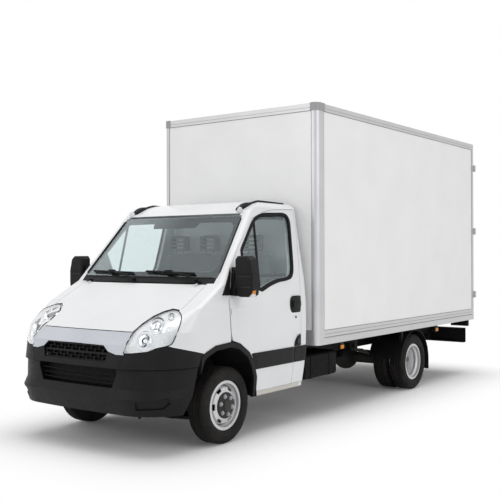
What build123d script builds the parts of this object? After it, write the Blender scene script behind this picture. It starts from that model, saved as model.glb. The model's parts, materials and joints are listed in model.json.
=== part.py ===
from build123d import *
import os
from math import atan2, cos, hypot, pi, radians, sin, sqrt

# Frame and driving sizes
# Lengths are in millimetres. X runs to the vehicle's left, -Y forward and +Z up.
# The model is drawn with the front axle at y = 0 and moved to its centre when it is saved.
WHEELBASE = 3750
FRONT_OVERHANG = 988
GAP = 5
FIT = 0.5
SEAT = 0.3

# Wheels
TYRE_RADIUS = 346
TYRE_WIDTH = 195
TYRE_SIDES = 34
RIM_RADIUS = 222
SEAT_RADIUS = 203
WELL_RADIUS = 187
RIM_WIDTH = 152
RIM_GAUGE = 6
DISC_GAUGE = 9
HUB_RADIUS = 68
HUB_BORE = 46
SLOT_COUNT = 6
SLOT_CIRCLE = 150
FRONT_WHEEL_X = 845
FRONT_FACE_X = 920
TWIN_MID_X = 785
TWIN_SPACING = 226
KINGPIN_X = 780
BALL_DROP = 128
STEER_LIMIT = 36

# Chassis
RAIL_OUTER = 430
RAIL_FLANGE = 60
RAIL_BOTTOM = 540
RAIL_TOP = 700
RAIL_GAUGE = 6
RAIL_FRONT = -800
CROSSMEMBER_YS = (-700, 900, 2100, 3200, 4300)
CROSSMEMBER_WIDTH = 70

# Cab
CAB_WALL = 42
SKIN = 24
GLASS = 5
BOW_RADIUS = 8000
CAB_AHEAD = -FRONT_OVERHANG - 12
REAR_CORNER = 60
BACK_LOW = (350, 1238)
BACK_HIGH = (1600, 1305)
FLOOR_TOP = 745
SILL_BOTTOM = 375
DOOR_BOTTOM = 422

# Cab sections from the bumper up: height, front at the middle, half width, corner radius
BUMPER_SECTIONS = (
    (352, -925, 955, 430),
    (500, -988, 986, 480),
    (575, -952, 985, 490),
    (747.5, -950, 992, 505),
)
NOSE_SECTIONS = (
    (748, -984, 998, 530),
    (945, -957, 998, 530),
    (1048, -848, 995, 350),
)
BONNET_SECTIONS = (
    (1048, -848, 995, 350),
    (1240, -500, 984, 60),
    (1441, -136, 957, 55),
)
GLASS_SECTIONS = (
    (1441, -136, 957, 55),
    (2094, 436, 842, 48),
    (2330, 643, 800, 45),
)
BODY_SECTIONS = NOSE_SECTIONS[:2] + BONNET_SECTIONS + GLASS_SECTIONS[1:]
SIDE_SECTIONS = BUMPER_SECTIONS[:1] + BUMPER_SECTIONS[2:3] + BODY_SECTIONS

# Roof crown, seen from the side and from the front
ROOF_FRONT = (436, 2094)
ROOF_TOP = (1010, 2244)
ROOF_EDGE_Z = 2172
ROOF_EDGE_X = 815
ROOF_SHOULDER = (640, 2232)
BACK_SPLIT = 740
HINGE_POST_X = 880
SILL_INNER = 870
DOOR_WALL = 58
LAMP_DEPTH = 70
BONNET_WALL = 18
BONNET_LAMP_GAP = 8
BONNET_HINGE = (-130, 1436)
BONNET_LUG_X = 700
DOOR_HINGE = (980, 2)
DOOR_HINGE_ZS = (990, 1190)
DOOR_SWING = 24.5
ENGINE_FRONT = -640
ENGINE_REAR = 10
GEARBOX_REAR = 760
AXLE_NOSE = 175
SHAFT_Z = 400
EXHAUST_X = -200
BUMPER_WALL = 30
BUMPER_TOP = 742
INTAKE_OUTLINE = ((-440, 578), (440, 578), (492, 700), (492, 760), (-492, 760), (-492, 700))
INTAKE_DEPTH = 90
INTAKE_WALL = 7
# The blanked lamp recess low on the bumper's corner: along the corner, height
BLANK_OUTLINE = ((10, 408), (240, 418), (300, 462), (285, 512), (10, 478))
BLANK_DEPTH = 14

TRIM_STAND = 7
SPRING_X = 520
SPRING_WIDTH = 70
TANK_X = (520, 905)
TANK_Y = (1330, 2000)
TANK_Z = (400, 660)

GUARD_RADIUS = 394
GUARD_WALL = 6
GUARD_INNER = 566
FLAP_BOTTOM = 215
BAR_Z = (434, 639)
RAIL_GROOVE = 68
HANDLE_Z = 1330
ROOF_LAMP_RISE = 16

# Cab inside
WHEEL_X = 425
WHEEL_Y = 470
WHEEL_Z = 1400
WHEEL_RING = 195
COLUMN_TILT = -40

# Mirrors: outline of the base plate (y, height), the two arms (y, lowest, highest), and the head
# with its outline (x, height), its limits along the vehicle and the grooves between its parts
MIRROR_BASE = ((6, 1335), (100, 1325), (88, 1588))
MIRROR_ARMS = ((62, 1400, 1444), (78, 1484, 1538))
ARM_HALF = 14
MIRROR_OUTLINE = (
    (1005, 1400),
    (1014, 1345),
    (1050, 1322),
    (1155, 1322),
    (1187, 1345),
    (1197, 1410),
    (1197, 1540),
    (1168, 1658),
    (1128, 1690),
    (1030, 1690),
    (1005, 1660),
)
MIRROR_Y = (30, 145)
MIRROR_ROUND = 20
MIRROR_GROOVES = (1413, 1531)

# Box body
BOX_FRONT = 1363
BOX_LENGTH = 4214
BOX_HALF = 1053.5
BOX_BOTTOM = 763
BOX_TOP = 3262
WALL_THICK = 30
WALL_SET_BACK = 4
LOWER_RAIL = 147
UPPER_RAIL = 76
RAIL_THICK = 42
POST_SIDE = 127
POST_FRONT = 70
POST_ROUND = 55
CAP_THICK = 7
CAP_LAP = 16
FLOOR_THICK = 28
BEARER_HEIGHT = 80
BEARER_COUNT = 11
REAR_POST = 68
REAR_DEPTH = 60

# Box doors
DOOR_THICK = 40
HINGE_OUT = 18
HINGE_RADIUS = 11
HINGE_HALF = 45
LOCK_RADIUS = 12
LOCK_STAND = 20
LOCK_OUT = LOCK_STAND + LOCK_RADIUS

# Places that follow from the box's size
BOX_REAR = BOX_FRONT + BOX_LENGTH
RAIL_REAR = BOX_REAR - 137
OPENING_X = BOX_HALF - REAR_POST
HINGE_X = BOX_HALF + 19.5
STRAP_X = BOX_HALF - 203.5
LOCK_XS = (110, OPENING_X - 345.5)
GUIDE_ZS = (960, 1600, BOX_TOP - 862, BOX_TOP - 142)
HINGE_LOW = 1120
HINGE_HIGH = BOX_TOP - 342
HINGE_ZS = (HINGE_LOW, (HINGE_LOW + HINGE_HIGH) / 2, HINGE_HIGH)
GUARD_OUTER = BOX_HALF - 49.5
BAR_HALF = BOX_HALF - 103.5
BAR_Y = (BOX_REAR - 125, BOX_REAR - 47)
MARKER_YS = (BOX_FRONT + 477, BOX_REAR - 1297)
TAIL = BOX_REAR - 2 + LOCK_OUT
ORIGIN_Y = (TAIL - FRONT_OVERHANG) / 2

os.makedirs("parts", exist_ok=True)


def save(name, shape):
    """Write one piece, moved so that the origin is under the middle of the vehicle."""
    placed = Pos(0, -ORIGIN_Y, 0) * shape
    solids = placed.solids()
    piece = solids[0] if len(solids) == 1 else Compound(children=list(solids))
    export_step(piece, f"parts/{name}.step")


def block(x0, x1, y0, y1, z0, z1):
    """A block given by its limits."""
    middle = Pos((x0 + x1) / 2, (y0 + y1) / 2, (z0 + z1) / 2)
    return middle * Box(x1 - x0, y1 - y0, z1 - z0)


def outline(points):
    return make_face(Polyline(*points, close=True))


def along_x(points, x0, x1):
    """Extrude an outline of (y, z) points from x0 to x1."""
    return extrude(Plane.YZ.offset(x0) * outline(points), x1 - x0)


def along_y(points, y0, y1):
    """Extrude an outline of (x, z) points from y0 to y1."""
    return extrude(Plane.XZ.offset(-y1) * outline(points), y1 - y0)


def along_z(points, z0, z1):
    """Extrude an outline of (x, y) points from z0 to z1."""
    return extrude(Plane.XY.offset(z0) * outline(points), z1 - z0)


def rod_x(x0, x1, y, z, radius):
    return Pos((x0 + x1) / 2, y, z) * Rot(0, 90, 0) * Cylinder(radius, x1 - x0)


def rod_y(x, y0, y1, z, radius):
    return Pos(x, (y0 + y1) / 2, z) * Rot(90, 0, 0) * Cylinder(radius, y1 - y0)


def rod_z(x, y, z0, z1, radius):
    return Pos(x, y, (z0 + z1) / 2) * Cylinder(radius, z1 - z0)


def mirrored(shape):
    return mirror(shape, about=Plane.YZ)


def both(shape):
    """The piece on the left and its twin on the right."""
    return Compound(children=[*shape.solids(), *mirrored(shape).solids()])


def one_side(name, shape):
    """Save the left piece and its mirrored right piece."""
    save(f"{name}_left", shape)
    save(f"{name}_right", mirrored(shape))


# The cab's outer form
def back_at(z):
    """The cab's back leans rearwards up to the belt and is upright above it."""
    share = min(max((z - BACK_LOW[0]) / (BACK_HIGH[0] - BACK_LOW[0]), 0), 1)
    return BACK_LOW[1] + share * (BACK_HIGH[1] - BACK_LOW[1])


def slice_face(z, front, half, corner, back):
    """One level cut through the cab: bowed front, round corners, straight sides."""
    bow_y = front + BOW_RADIUS
    corner_x = half - corner
    corner_y = bow_y - sqrt((BOW_RADIUS - corner) ** 2 - corner_x**2)
    turn = atan2(corner_x, bow_y - corner_y)
    touch = (BOW_RADIUS * sin(turn), bow_y - BOW_RADIUS * cos(turn))
    middle = (turn + pi / 2) / 2
    bend = (corner_x + corner * sin(middle), corner_y - corner * cos(middle))
    rear_y = back - REAR_CORNER
    rear_x = half - REAR_CORNER
    knee = REAR_CORNER * sqrt(0.5)

    def flip(point):
        return (-point[0], point[1])

    edges = [
        ThreePointArc(flip(touch), (0, front), touch),
        ThreePointArc(touch, bend, (half, corner_y)),
        Line((half, corner_y), (half, rear_y)),
        ThreePointArc((half, rear_y), (rear_x + knee, rear_y + knee), (rear_x, back)),
        Line((rear_x, back), (-rear_x, back)),
        ThreePointArc((-rear_x, back), (-rear_x - knee, rear_y + knee), (-half, rear_y)),
        Line((-half, rear_y), (-half, corner_y)),
        ThreePointArc((-half, corner_y), flip(bend), flip(touch)),
    ]
    return Pos(0, 0, z) * make_face(edges)


def inward(lower, upper):
    """The direction into the cab, square to its front between two sections."""
    rise = upper[0] - lower[0]
    run = upper[1] - lower[1]
    size = hypot(rise, run)
    return rise / size, -run / size


def half_at(sections, z):
    for lower, upper in zip(sections, sections[1:]):
        if z <= upper[0] or upper is sections[-1]:
            share = (z - lower[0]) / (upper[0] - lower[0])
            return lower[2] + share * (upper[2] - lower[2])


def inset(sections, depth):
    """The same sections, moved into the cab by a wall's thickness."""
    moved = []
    for number, (z, front, half, corner) in enumerate(sections):
        below = inward(*sections[max(number - 1, 0) : max(number - 1, 0) + 2])
        above_at = min(number, len(sections) - 2)
        above = inward(*sections[above_at : above_at + 2])
        mitre = depth / (1 + below[0] * above[0] + below[1] * above[1])
        new_front = front + mitre * (below[0] + above[0])
        new_z = z + mitre * (below[1] + above[1])
        new_half = half_at(sections, new_z) - depth
        moved.append((new_z, new_front, new_half, max(corner - depth, 25)))
    return moved


def stretched(sections, reach):
    """Carry the first and last section on past their ends, along their own slopes."""

    def beyond(near, far, sign):
        share = reach / abs(near[0] - far[0])
        values = [a + (a - b) * share for a, b in zip(near, far)]
        return (near[0] + sign * reach, *values[1:3], max(values[3], 25))

    first = beyond(sections[0], sections[1], -1)
    last = beyond(sections[-1], sections[-2], 1)
    return [first, *sections[1:-1], last] if len(sections) > 2 else [first, last]


def form(sections, depth=0, reach=0, back_shift=0):
    """The solid through the sections, inset by a depth."""
    used = inset(sections, depth) if depth else list(sections)
    if reach:
        used = stretched(used, reach)
    faces = [
        slice_face(z, front, half, corner, back_at(z) + back_shift)
        for z, front, half, corner in used
    ]
    return loft(faces, ruled=True)


def panel(sections, depth, region, start=0, back_shift=90):
    """A panel of even thickness: the part of the cab's form inside a region."""
    outer = form(sections, start) & region
    return outer - form(sections, start + depth, reach=60, back_shift=back_shift)


def roof_side():
    """The roof's crown from the side, above which nothing reaches."""
    (front_y, front_z), (top_y, top_z) = ROOF_FRONT, ROOF_TOP
    rise, run = top_z - front_z, top_y - front_y
    radius = (rise**2 + run**2) / (2 * rise)
    half_turn = atan2(run, radius - rise) / 2
    bend = (top_y - radius * sin(half_turn), top_z - radius * (1 - cos(half_turn)))
    edges = [
        ThreePointArc(ROOF_FRONT, bend, ROOF_TOP),
        Line(ROOF_TOP, (1500, top_z)),
        Line((1500, top_z), (1500, 300)),
        Line((1500, 300), (-1300, 300)),
        Line((-1300, 300), (-1300, front_z)),
        Line((-1300, front_z), ROOF_FRONT),
    ]
    return extrude(Plane.YZ.offset(-1200) * make_face(edges), 2400)


def roof_across(drop=0):
    """The roof's crown from the front: a flat arc with rounded shoulders."""
    edge_x, edge_z = ROOF_EDGE_X, ROOF_EDGE_Z - drop
    shoulder = (ROOF_SHOULDER[0], ROOF_SHOULDER[1] - drop)
    top = (0, ROOF_TOP[1] + 12 - drop)
    bend = (edge_x - 62, edge_z + 38)
    edges = [
        ThreePointArc((-shoulder[0], shoulder[1]), top, shoulder),
        ThreePointArc(shoulder, bend, (edge_x, edge_z)),
        Line((edge_x, edge_z), (1200, edge_z - 200)),
        Line((1200, edge_z - 200), (1200, 300)),
        Line((1200, 300), (-1200, 300)),
        Line((-1200, 300), (-1200, edge_z - 200)),
        Line((-1200, edge_z - 200), (-edge_x, edge_z)),
        ThreePointArc((-edge_x, edge_z), (-bend[0], bend[1]), (-shoulder[0], shoulder[1])),
    ]
    return extrude(Plane.XZ.offset(-1600) * make_face(edges), 3000)


# Outlines that neighbouring pieces share
# The bonnet's left edge from its front corner: x, y
BONNET_EDGE = (
    (588, -900),
    (588, -840),
    (603, -741),
    (647, -651),
    (709, -592),
    (785, -548),
    (812, -470),
    (812, -380),
    (800, -240),
    (788, -90),
)
# The lamp's outline across the front corner: along the corner, height
LAMP_OUTLINE = (
    (-98, 876),
    (-66, 968),
    (-26, 1045),
    (42, 1107),
    (131, 1167),
    (216, 1205),
    (294, 1227),
    (348, 1221),
    (382, 1185),
    (381, 1138),
    (361, 1069),
    (333, 999),
    (313, 957),
    (264, 939),
    (183, 925),
    (116, 896),
    (13, 885),
)
LAMP_TURN = 36.6
# The silver panel's outline on the left half: x, height
PANEL_OUTLINE = (
    (0, 940),
    (355, 936),
    (412, 888),
    (500, 866),
    (580, 866),
    (640, 1046),
    (0, 1046),
)
UNIT_OUTLINE = ((-535, 748), (535, 748), (580, 868), (560, 934), (-560, 934), (-580, 868))
GRILLE_ROWS = ((806, 829), (832, 855), (872, 895), (898, 920))
SLOT_WIDTH = 84
SLOT_WEB = 12
GRILLE_OPENING = ((-386, 797), (386, 797), (412, 880), (356, 928), (-356, 928), (-412, 880))

# The door's outline from its front foot: y, height
DOOR_OUTLINE = (
    (411, DOOR_BOTTOM),
    (399, 562),
    (347, 695),
    (268, 807),
    (124, 898),
    (19, 930),
    (-2, 1000),
    (-5, 1328),
    (80, 1591),
    (231, 1771),
    (500, 2040),
    (700, 2110),
    (830, 2138),
    (1232, 2158),
    (1240, 2000),
    (1217, 1748),
    (1172, 1462),
    (1138, 1144),
    (1128, 912),
    (1040, 898),
    (1000, 855),
    (1000, DOOR_BOTTOM),
)
WINDOW_OUTLINE = (
    (250, 1716),
    (515, 2010),
    (595, 2057),
    (700, 2084),
    (1050, 2098),
    (1112, 2078),
    (1130, 2030),
    (1102, 1798),
    (1065, 1549),
    (1022, 1482),
    (915, 1464),
    (795, 1456),
    (648, 1423),
    (472, 1362),
)
# The wheel arch's outer edge on the side: y, height
ARCH_OUTLINE = (
    (-600, 340),
    (-505, 565),
    (-462, 742),
    (-430, 815),
    (-378, 858),
    (-232, 908),
    (-17, 922),
    (120, 890),
    (261, 800),
    (340, 690),
    (392, 560),
    (404, SILL_BOTTOM),
)
# The dark corner panel's upper edge from the lamp to the arch: y, height
CORNER_OUTLINE = (
    (-1200, 955),
    (-765, 955),
    (-693, 928),
    (-575, 898),
    (-392, 855),
    (-380, 700),
    (-1200, 700),
)
ARCH_TRIM = 46
ARCH_INNER = 500
LINER = 4
# The windscreen's outline on the left half: x, height
SCREEN_OUTLINE = ((868, 1492), (768, 2078))


def around(points, grow):
    """An outline moved outwards by a distance, with sharp corners."""
    face = offset(outline(points), grow, kind=Kind.INTERSECTION)
    return face


def side_core(depth):
    """The space inside the cab's flat sides."""
    sections = stretched(list(SIDE_SECTIONS), 60)
    right = [(half - depth, z) for z, front, half, corner in sections]
    left = [(-x, z) for x, z in reversed(right)]
    return along_y([*right, *left], -1400, 1600)


def side_prism(points, grow=0, x0=650, x1=1250):
    """The space behind an outline drawn on the left side: y, height."""
    face = around(points, grow) if grow else outline(points)
    return extrude(Plane.YZ.offset(x0) * face, x1 - x0)


def front_prism(points, grow=0):
    """The space behind an outline drawn on the front: x, height."""
    face = around(points, grow) if grow else outline(points)
    return extrude(Plane.XZ.offset(500) * face, 800)


def mirrored_outline(points):
    """Both halves of an outline drawn on the left half."""
    left = [(-x, z) for x, z in reversed(points) if x > 0]
    return [*points, *left]


def lamp_prism(grow=0):
    """The space behind the left headlamp's outline."""
    return corner_prism(LAMP_OUTLINE, grow)


def corner_prism(points, grow=0):
    """The space behind an outline drawn across the left front corner: along the corner, height."""
    turn = radians(LAMP_TURN)
    across = Vector(cos(turn), sin(turn), 0)
    ahead = Vector(sin(turn), -cos(turn), 0)
    plane = Plane(origin=ahead * 1500, x_dir=across, z_dir=ahead)
    face = around(points, grow) if grow else outline(points)
    return extrude(plane * face, -1100)


def bonnet_prism(grow=0):
    """The space under the bonnet's outline."""
    edge = [(x + grow, y) for x, y in BONNET_EDGE]
    rear = [(900, -60), (900, 100)] if grow else [(788, -60)]
    left = [*edge, *rear[:1]]
    right = [(-x, y) for x, y in reversed(left)]
    return along_z([*left, *right], 900, 1700)


ARCH_SPACE = along_x([*ARCH_OUTLINE, (404, 200), (-600, 200)], ARCH_INNER, 1300)
LAMP_SPACE = lamp_prism(FIT)
CORNER_SPACE = along_x(CORNER_OUTLINE, 300, 1300)
BONNET_SPACE = bonnet_prism(GAP)
DOOR_SPACE = side_prism(DOOR_OUTLINE, GAP)


def cut_both(shape, *tools):
    """Take each tool and its mirrored twin away from a piece."""
    for tool in tools:
        shape = shape - tool - mirrored(tool)
    return shape


# Cab panels
def largest(shape):
    """Keep the largest solid of a cut piece, without the crumbs."""
    return max(shape.solids(), key=lambda solid: solid.volume)


def bonnet():
    """The bonnet: a bowed skin between the wings and headlamps."""
    region = bonnet_prism() & block(-900, 900, CAB_AHEAD, -60, BONNET_SECTIONS[0][0] + 4, 1431)
    skin = cut_both(panel(BONNET_SECTIONS, BONNET_WALL, region), lamp_prism(BONNET_LAMP_GAP))
    y, z = BONNET_HINGE
    lugs = []
    for side in (-1, 1):
        x = side * BONNET_LUG_X
        lugs.append(rod_x(x - 8, x + 8, y, z, 6) + block(x - 8, x + 8, y - 34, y + 2, z - 12, z))
    bores = [rod_x(side * BONNET_LUG_X - 9, side * BONNET_LUG_X + 9, y, z, 3 + SEAT) for side in (-1, 1)]
    return largest((skin + lugs) - bores)


def wings():
    """The front wings, from the headlamps to the doors and down to the arches."""
    region = block(540, 1100, CAB_AHEAD, 60, 800, 1441) - block(0, 700, CAB_AHEAD, -600, 700, 1500)
    skin = panel(NOSE_SECTIONS[:2] + BONNET_SECTIONS, SKIN, region)
    skin = skin - BONNET_SPACE - LAMP_SPACE - DOOR_SPACE - ARCH_SPACE - CORNER_SPACE
    skin = skin - rod_z(*DOOR_HINGE, 900, 1300, DOOR_SWING)
    return both(largest(skin))


def corner_panels():
    """Dark panels under the headlamps, between the grille unit and the arches."""
    region = CORNER_SPACE & block(0, 1100, -1100, -380, 748, 960)
    skin = panel(NOSE_SECTIONS, SKIN, region) - LAMP_SPACE - ARCH_SPACE
    skin = skin - front_prism(mirrored_outline(PANEL_OUTLINE), FIT)
    return both(largest(skin - front_prism(UNIT_OUTLINE, FIT)))


def silver_panel():
    """The plain silver panel between bonnet and grille."""
    skin = panel(NOSE_SECTIONS, SKIN, front_prism(mirrored_outline(PANEL_OUTLINE)))
    return largest(cut_both(skin, LAMP_SPACE))


def grille():
    """The grille unit: dark frame with two double rows of brick-like slots."""
    region = front_prism(UNIT_OUTLINE) - front_prism(mirrored_outline(PANEL_OUTLINE), FIT)
    opening = front_prism(GRILLE_OPENING)
    frame = cut_both(panel(NOSE_SECTIONS, SKIN, region - opening), LAMP_SPACE)
    slots = []
    for row, (low, high) in enumerate(GRILLE_ROWS):
        shift = (SLOT_WIDTH + SLOT_WEB) / 2 if row % 2 else 0
        for column in range(-5, 6):
            x = column * (SLOT_WIDTH + SLOT_WEB) + shift
            slots.append(block(x - SLOT_WIDTH / 2, x + SLOT_WIDTH / 2, -1100, -700, low, high))
    mesh = panel(NOSE_SECTIONS, 26, opening, start=20) - slots
    return largest(frame + mesh)


def headlamps():
    """Closed lamp units that follow the front corner."""
    lamp_sections = NOSE_SECTIONS[:2] + BONNET_SECTIONS[:2] + ((1300, -391, 976, 58),)
    return both(largest(panel(lamp_sections, LAMP_DEPTH, lamp_prism())))


def bumper():
    """The front bumper: lip, centre intake and round corners, cut clear of the arches."""
    region = block(-1100, 1100, -1200, -380, 352, BUMPER_TOP)
    skin = panel(BUMPER_SECTIONS, BUMPER_WALL, region)
    skin = cut_both(skin, ARCH_SPACE, corner_prism(BLANK_OUTLINE) - form(BUMPER_SECTIONS, BLANK_DEPTH, reach=60))
    space = front_prism(INTAKE_OUTLINE) - form(BUMPER_SECTIONS, INTAKE_DEPTH, reach=60)
    duct = front_prism(INTAKE_OUTLINE, INTAKE_WALL) & form(BUMPER_SECTIONS, 10)
    duct = duct - form(BUMPER_SECTIONS, INTAKE_DEPTH + INTAKE_WALL, reach=60)
    duct = duct & block(-600, 600, -1200, 0, 500, BUMPER_TOP)
    start = BUMPER_SECTIONS[2][1] + INTAKE_DEPTH + 13
    brackets = [block(side * 400 - 26, side * 400 + 26, start, RAIL_FRONT, 590, 670) for side in (-1, 1)]
    return largest((skin + duct) - space + brackets)


def cowl():
    """The dark panel between bonnet and windscreen."""
    region = block(-862, 862, -200, 40, 1441, SCREEN_OUTLINE[0][1] - FIT)
    dark = panel(GLASS_SECTIONS[:2], 30, region)
    y, z = BONNET_HINGE
    pins = []
    for side in (-1, 1):
        x = side * (BONNET_LUG_X + 14)
        pins.append(block(x - 4, x + 4, y - 6, y + 50, z - 4, z + 24))
        pins.append(rod_x(x - side * 22 - 4, x - side * 22 + 26, y, z, 3) if side > 0 else rod_x(x - 4, x + 26, y, z, 3))
    return largest(dark + pins)


def windscreen():
    """The bowed, raked windscreen."""
    return largest(panel(GLASS_SECTIONS, GLASS, screen_prism(), start=6))


def screen_prism(grow=0):
    points = mirrored_outline(SCREEN_OUTLINE)
    face = around(points, grow) if grow else outline(points)
    return extrude(Plane.XZ.offset(-700) * face, 1000)


ROOF_LINE = ((300, 2094), (470, 2094), (700, 2172), (1500, 2172))
ROOF_SPACE = along_x([*ROOF_LINE, (1500, 2400), (300, 2400)], -1100, 1100)


def roof():
    """The crowned roof panel, turned down at its edges."""
    outer = form(GLASS_SECTIONS) & roof_side() & roof_across()
    inner = form(GLASS_SECTIONS, CAB_WALL, reach=60, back_shift=-CAB_WALL)
    inner = inner & (Pos(0, 0, -CAB_WALL) * roof_side()) & roof_across(CAB_WALL)
    return largest((outer - inner) & ROOF_SPACE & block(-1000, 1000, 300, 1400, 2098, 2300))


def cab_wall():
    """The whole wall of the cab, with doors and windows not yet cut."""
    outer = form(SIDE_SECTIONS) & roof_side() & roof_across()
    return outer - form(SIDE_SECTIONS, CAB_WALL, reach=60, back_shift=-CAB_WALL)


def side_frames(wall):
    """Windscreen pillar, roof rail, rear pillar, hinge post and sill in one frame a side."""
    frame = wall & block(BACK_SPLIT, 1100, -140, 1400, DOOR_BOTTOM, 2200)
    frame = frame - ROOF_SPACE - DOOR_SPACE - ARCH_SPACE - screen_prism(FIT)
    cowl_top = SCREEN_OUTLINE[0][1] - FIT + SEAT
    frame = frame - block(0, 1100, -300, 404, 300, 1441) - block(0, 862 + SEAT, -300, 60, 1400, cowl_top)
    inner = form(NOSE_SECTIONS[:2] + BONNET_SECTIONS, SKIN + SEAT, reach=60)
    post = inner & block(HINGE_POST_X, 1100, -90, -12, 935, 1441)
    sill = form(SIDE_SECTIONS, 6) & block(SILL_INNER, 1100, 412, 1236, SILL_BOTTOM, DOOR_BOTTOM - GAP)
    foot = form(SIDE_SECTIONS, CAB_WALL - 2, back_shift=-20) & block(SILL_INNER, 1100, 1190, 1236, 400, 480)
    joined = frame + post + sill + foot
    x, y = DOOR_HINGE
    leaves = [block(HINGE_POST_X + 40, x + 6, y - 5, y + 5, z - 18, z + 18) for z in DOOR_HINGE_ZS]
    leaves += [block(HINGE_POST_X + 40, HINGE_POST_X + 76, -20, y + 5, z - 18, z + 18) for z in DOOR_HINGE_ZS]
    joined = (joined + leaves) - rod_z(x, y, 900, 1300, 4 + SEAT)
    return both(largest(joined))


def back_wall(wall):
    """The cab's rear panel between the pillars, with three pressed ribs."""
    plate = wall & block(-BACK_SPLIT, BACK_SPLIT, 1150, 1400, FLOOR_TOP - 30, 2200)
    return largest(plate - ROOF_SPACE)


def cab_floor():
    """Floor pan, step risers and bulkhead, clear of the wheel arches."""
    rear = back_at(FLOOR_TOP - 30) - CAB_WALL
    pan = block(-SILL_INNER, SILL_INNER, 20, rear, FLOOR_TOP - 25, FLOOR_TOP)
    feet = [block(RAIL_OUTER - 60, RAIL_OUTER, y - 40, y + 40, RAIL_TOP, FLOOR_TOP - 20) for y in (480, 1080)]
    pan = pan + feet + [mirrored(foot) for foot in feet]
    riser = block(SILL_INNER - 20, SILL_INNER, 412, rear - 20, SILL_BOTTOM, FLOOR_TOP)
    bulkhead = form(SIDE_SECTIONS, DOOR_WALL + 8) & block(-950, 950, 20, 50, FLOOR_TOP - 25, 1436)
    floor = pan + riser + mirrored(riser) + bulkhead
    return largest(cut_both(floor, ARCH_SPACE, block(HINGE_POST_X - 5, 1100, -90, -5, 900, 1500)))


STEERING_PLACE = Pos(WHEEL_X, WHEEL_Y, WHEEL_Z) * Rot(COLUMN_TILT, 0, 0)


def dashboard():
    """Dashboard with its hooded instrument pod and centre console."""
    profile = [(50, 1080), (50, 1470), (180, 1478), (330, 1440), (372, 1380), (350, 1250), (250, 1150)]
    body = along_x(profile, -890, 890) & form(SIDE_SECTIONS, DOOR_WALL + 12)
    pod = along_x([(150, 1440), (170, 1500), (270, 1490), (300, 1400)], WHEEL_X - 190, WHEEL_X + 190)
    console = along_x([(50, FLOOR_TOP), (50, 1200), (340, 1300), (300, 900), (240, FLOOR_TOP)], -160, 160)
    column = STEERING_PLACE * Pos(0, 0, -33 - SEAT - 110) * Cylinder(34, 220)
    return largest(body + pod + console + column)


def steering_wheel():
    """Rim, three spokes and hub, square to the steering column."""
    rim = revolve(Plane.XZ * Pos(WHEEL_RING, 0) * RegularPolygon(15, 8), Axis.Z)
    hub = Pos(0, 0, -12) * Cylinder(62, 42)
    spokes = [Rot(0, 0, turn) * block(40, WHEEL_RING - 4, -20, 20, -12, 2) for turn in (0, 180, 270)]
    wheel = rim + hub + spokes
    return STEERING_PLACE * wheel


def seat(x0, x1, places):
    """One seat: pedestal, cushion, backrest and a headrest for each place."""
    middle = (x0 + x1) / 2
    base = block(x0 + 50, x1 - 50, 560, 960, FLOOR_TOP, 1010)
    cushion = along_x([(500, 1010), (490, 1100), (560, 1130), (960, 1100), (1010, 1040), (990, 1010)], x0, x1)
    back = along_x([(930, 1060), (1050, 1700), (1130, 1700), (1130, 1600), (1060, 1060)], x0, x1)
    heads = []
    width = (x1 - x0) / places
    for place in range(places):
        centre = x0 + width * (place + 0.5)
        heads.append(block(centre - 120, centre + 120, 1050, 1140, 1740, 1910))
        heads.append(rod_z(centre - 50, 1095, 1690, 1760, 7) + rod_z(centre + 50, 1095, 1690, 1760, 7))
    return largest(base + cushion + back + heads)


def seats():
    driver = seat(170, 680, 1)
    bench = seat(-800, 70, 2)
    return Compound(children=[driver, bench])


# Doors
def cab_door():
    """The left door, as thick as its wall, with the window cut out and a mirror seat."""
    region = side_prism(DOOR_OUTLINE) - side_prism(WINDOW_OUTLINE)
    region = region & block(600, 1100, -200, 1400, 300, 2200)
    outer = form(SIDE_SECTIONS) & roof_across()
    door = (outer & region) - side_core(DOOR_WALL)
    x, y = DOOR_HINGE
    notches = [block(x - 60, x + 10, y - 30, y + 12, z - 23, z + 23) for z in DOOR_HINGE_ZS]
    pins = [rod_z(x, y, z - 26, z + 26, 4) for z in DOOR_HINGE_ZS]
    return largest((door - notches) + pins)


def door_glass():
    region = side_prism(WINDOW_OUTLINE, -SEAT)
    return largest((form(BODY_SECTIONS[2:], 14) & region) - side_core(14 + GLASS))


def mirror_left():
    """Mirror head on two arms, with its base plate at the window's front corner."""
    base = side_prism(MIRROR_BASE, x0=880) - side_prism(MIRROR_BASE, x0=1015)
    front, rear = MIRROR_Y
    head = along_y(MIRROR_OUTLINE, front, rear)
    head = fillet(head.faces().sort_by(Axis.Y)[0].edges(), MIRROR_ROUND)
    grooves = [block(900, 1300, front - 1, front + 4, z, z + 5) for z in MIRROR_GROOVES]
    arms = [block(935, 1030, y - ARM_HALF, y + ARM_HALF, low, high) for y, low, high in MIRROR_ARMS]
    return largest(base + (head - grooves) + arms - form(BODY_SECTIONS[2:], -SEAT, reach=60))


# Wheel arches
def arch_linings():
    """Moulded linings over the front wheels, with the broad trim along the arch's edge."""
    ring = outline([*ARCH_OUTLINE, (404, 300), (-620, 300)])
    inner = offset(ring, -LINER)
    strip = extrude(Plane.YZ.offset(ARCH_INNER) * (ring - inner), 480)
    strip = strip & block(0, 975, -450, 404, SILL_BOTTOM, 940)
    hole = offset(ring, -ARCH_TRIM)
    flange = extrude(Plane.YZ.offset(800) * (ring - hole), 300)
    flange = flange & form(SIDE_SECTIONS[:5], -TRIM_STAND) & block(0, 1100, -430, 404, SILL_BOTTOM, 940)
    flange = flange - side_core(SKIN)
    return both(largest(strip + flange))


# Running gear
def tyre_ring(*places):
    """A many-sided drum through the given places (x, radius), with a flat side lowest."""
    rings = []
    for x, radius in places:
        ring = RegularPolygon(radius, TYRE_SIDES, major_radius=False, rotation=180 / TYRE_SIDES - 90)
        rings.append(Plane.YZ.offset(x) * ring)
    return loft(rings, ruled=True)


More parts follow.
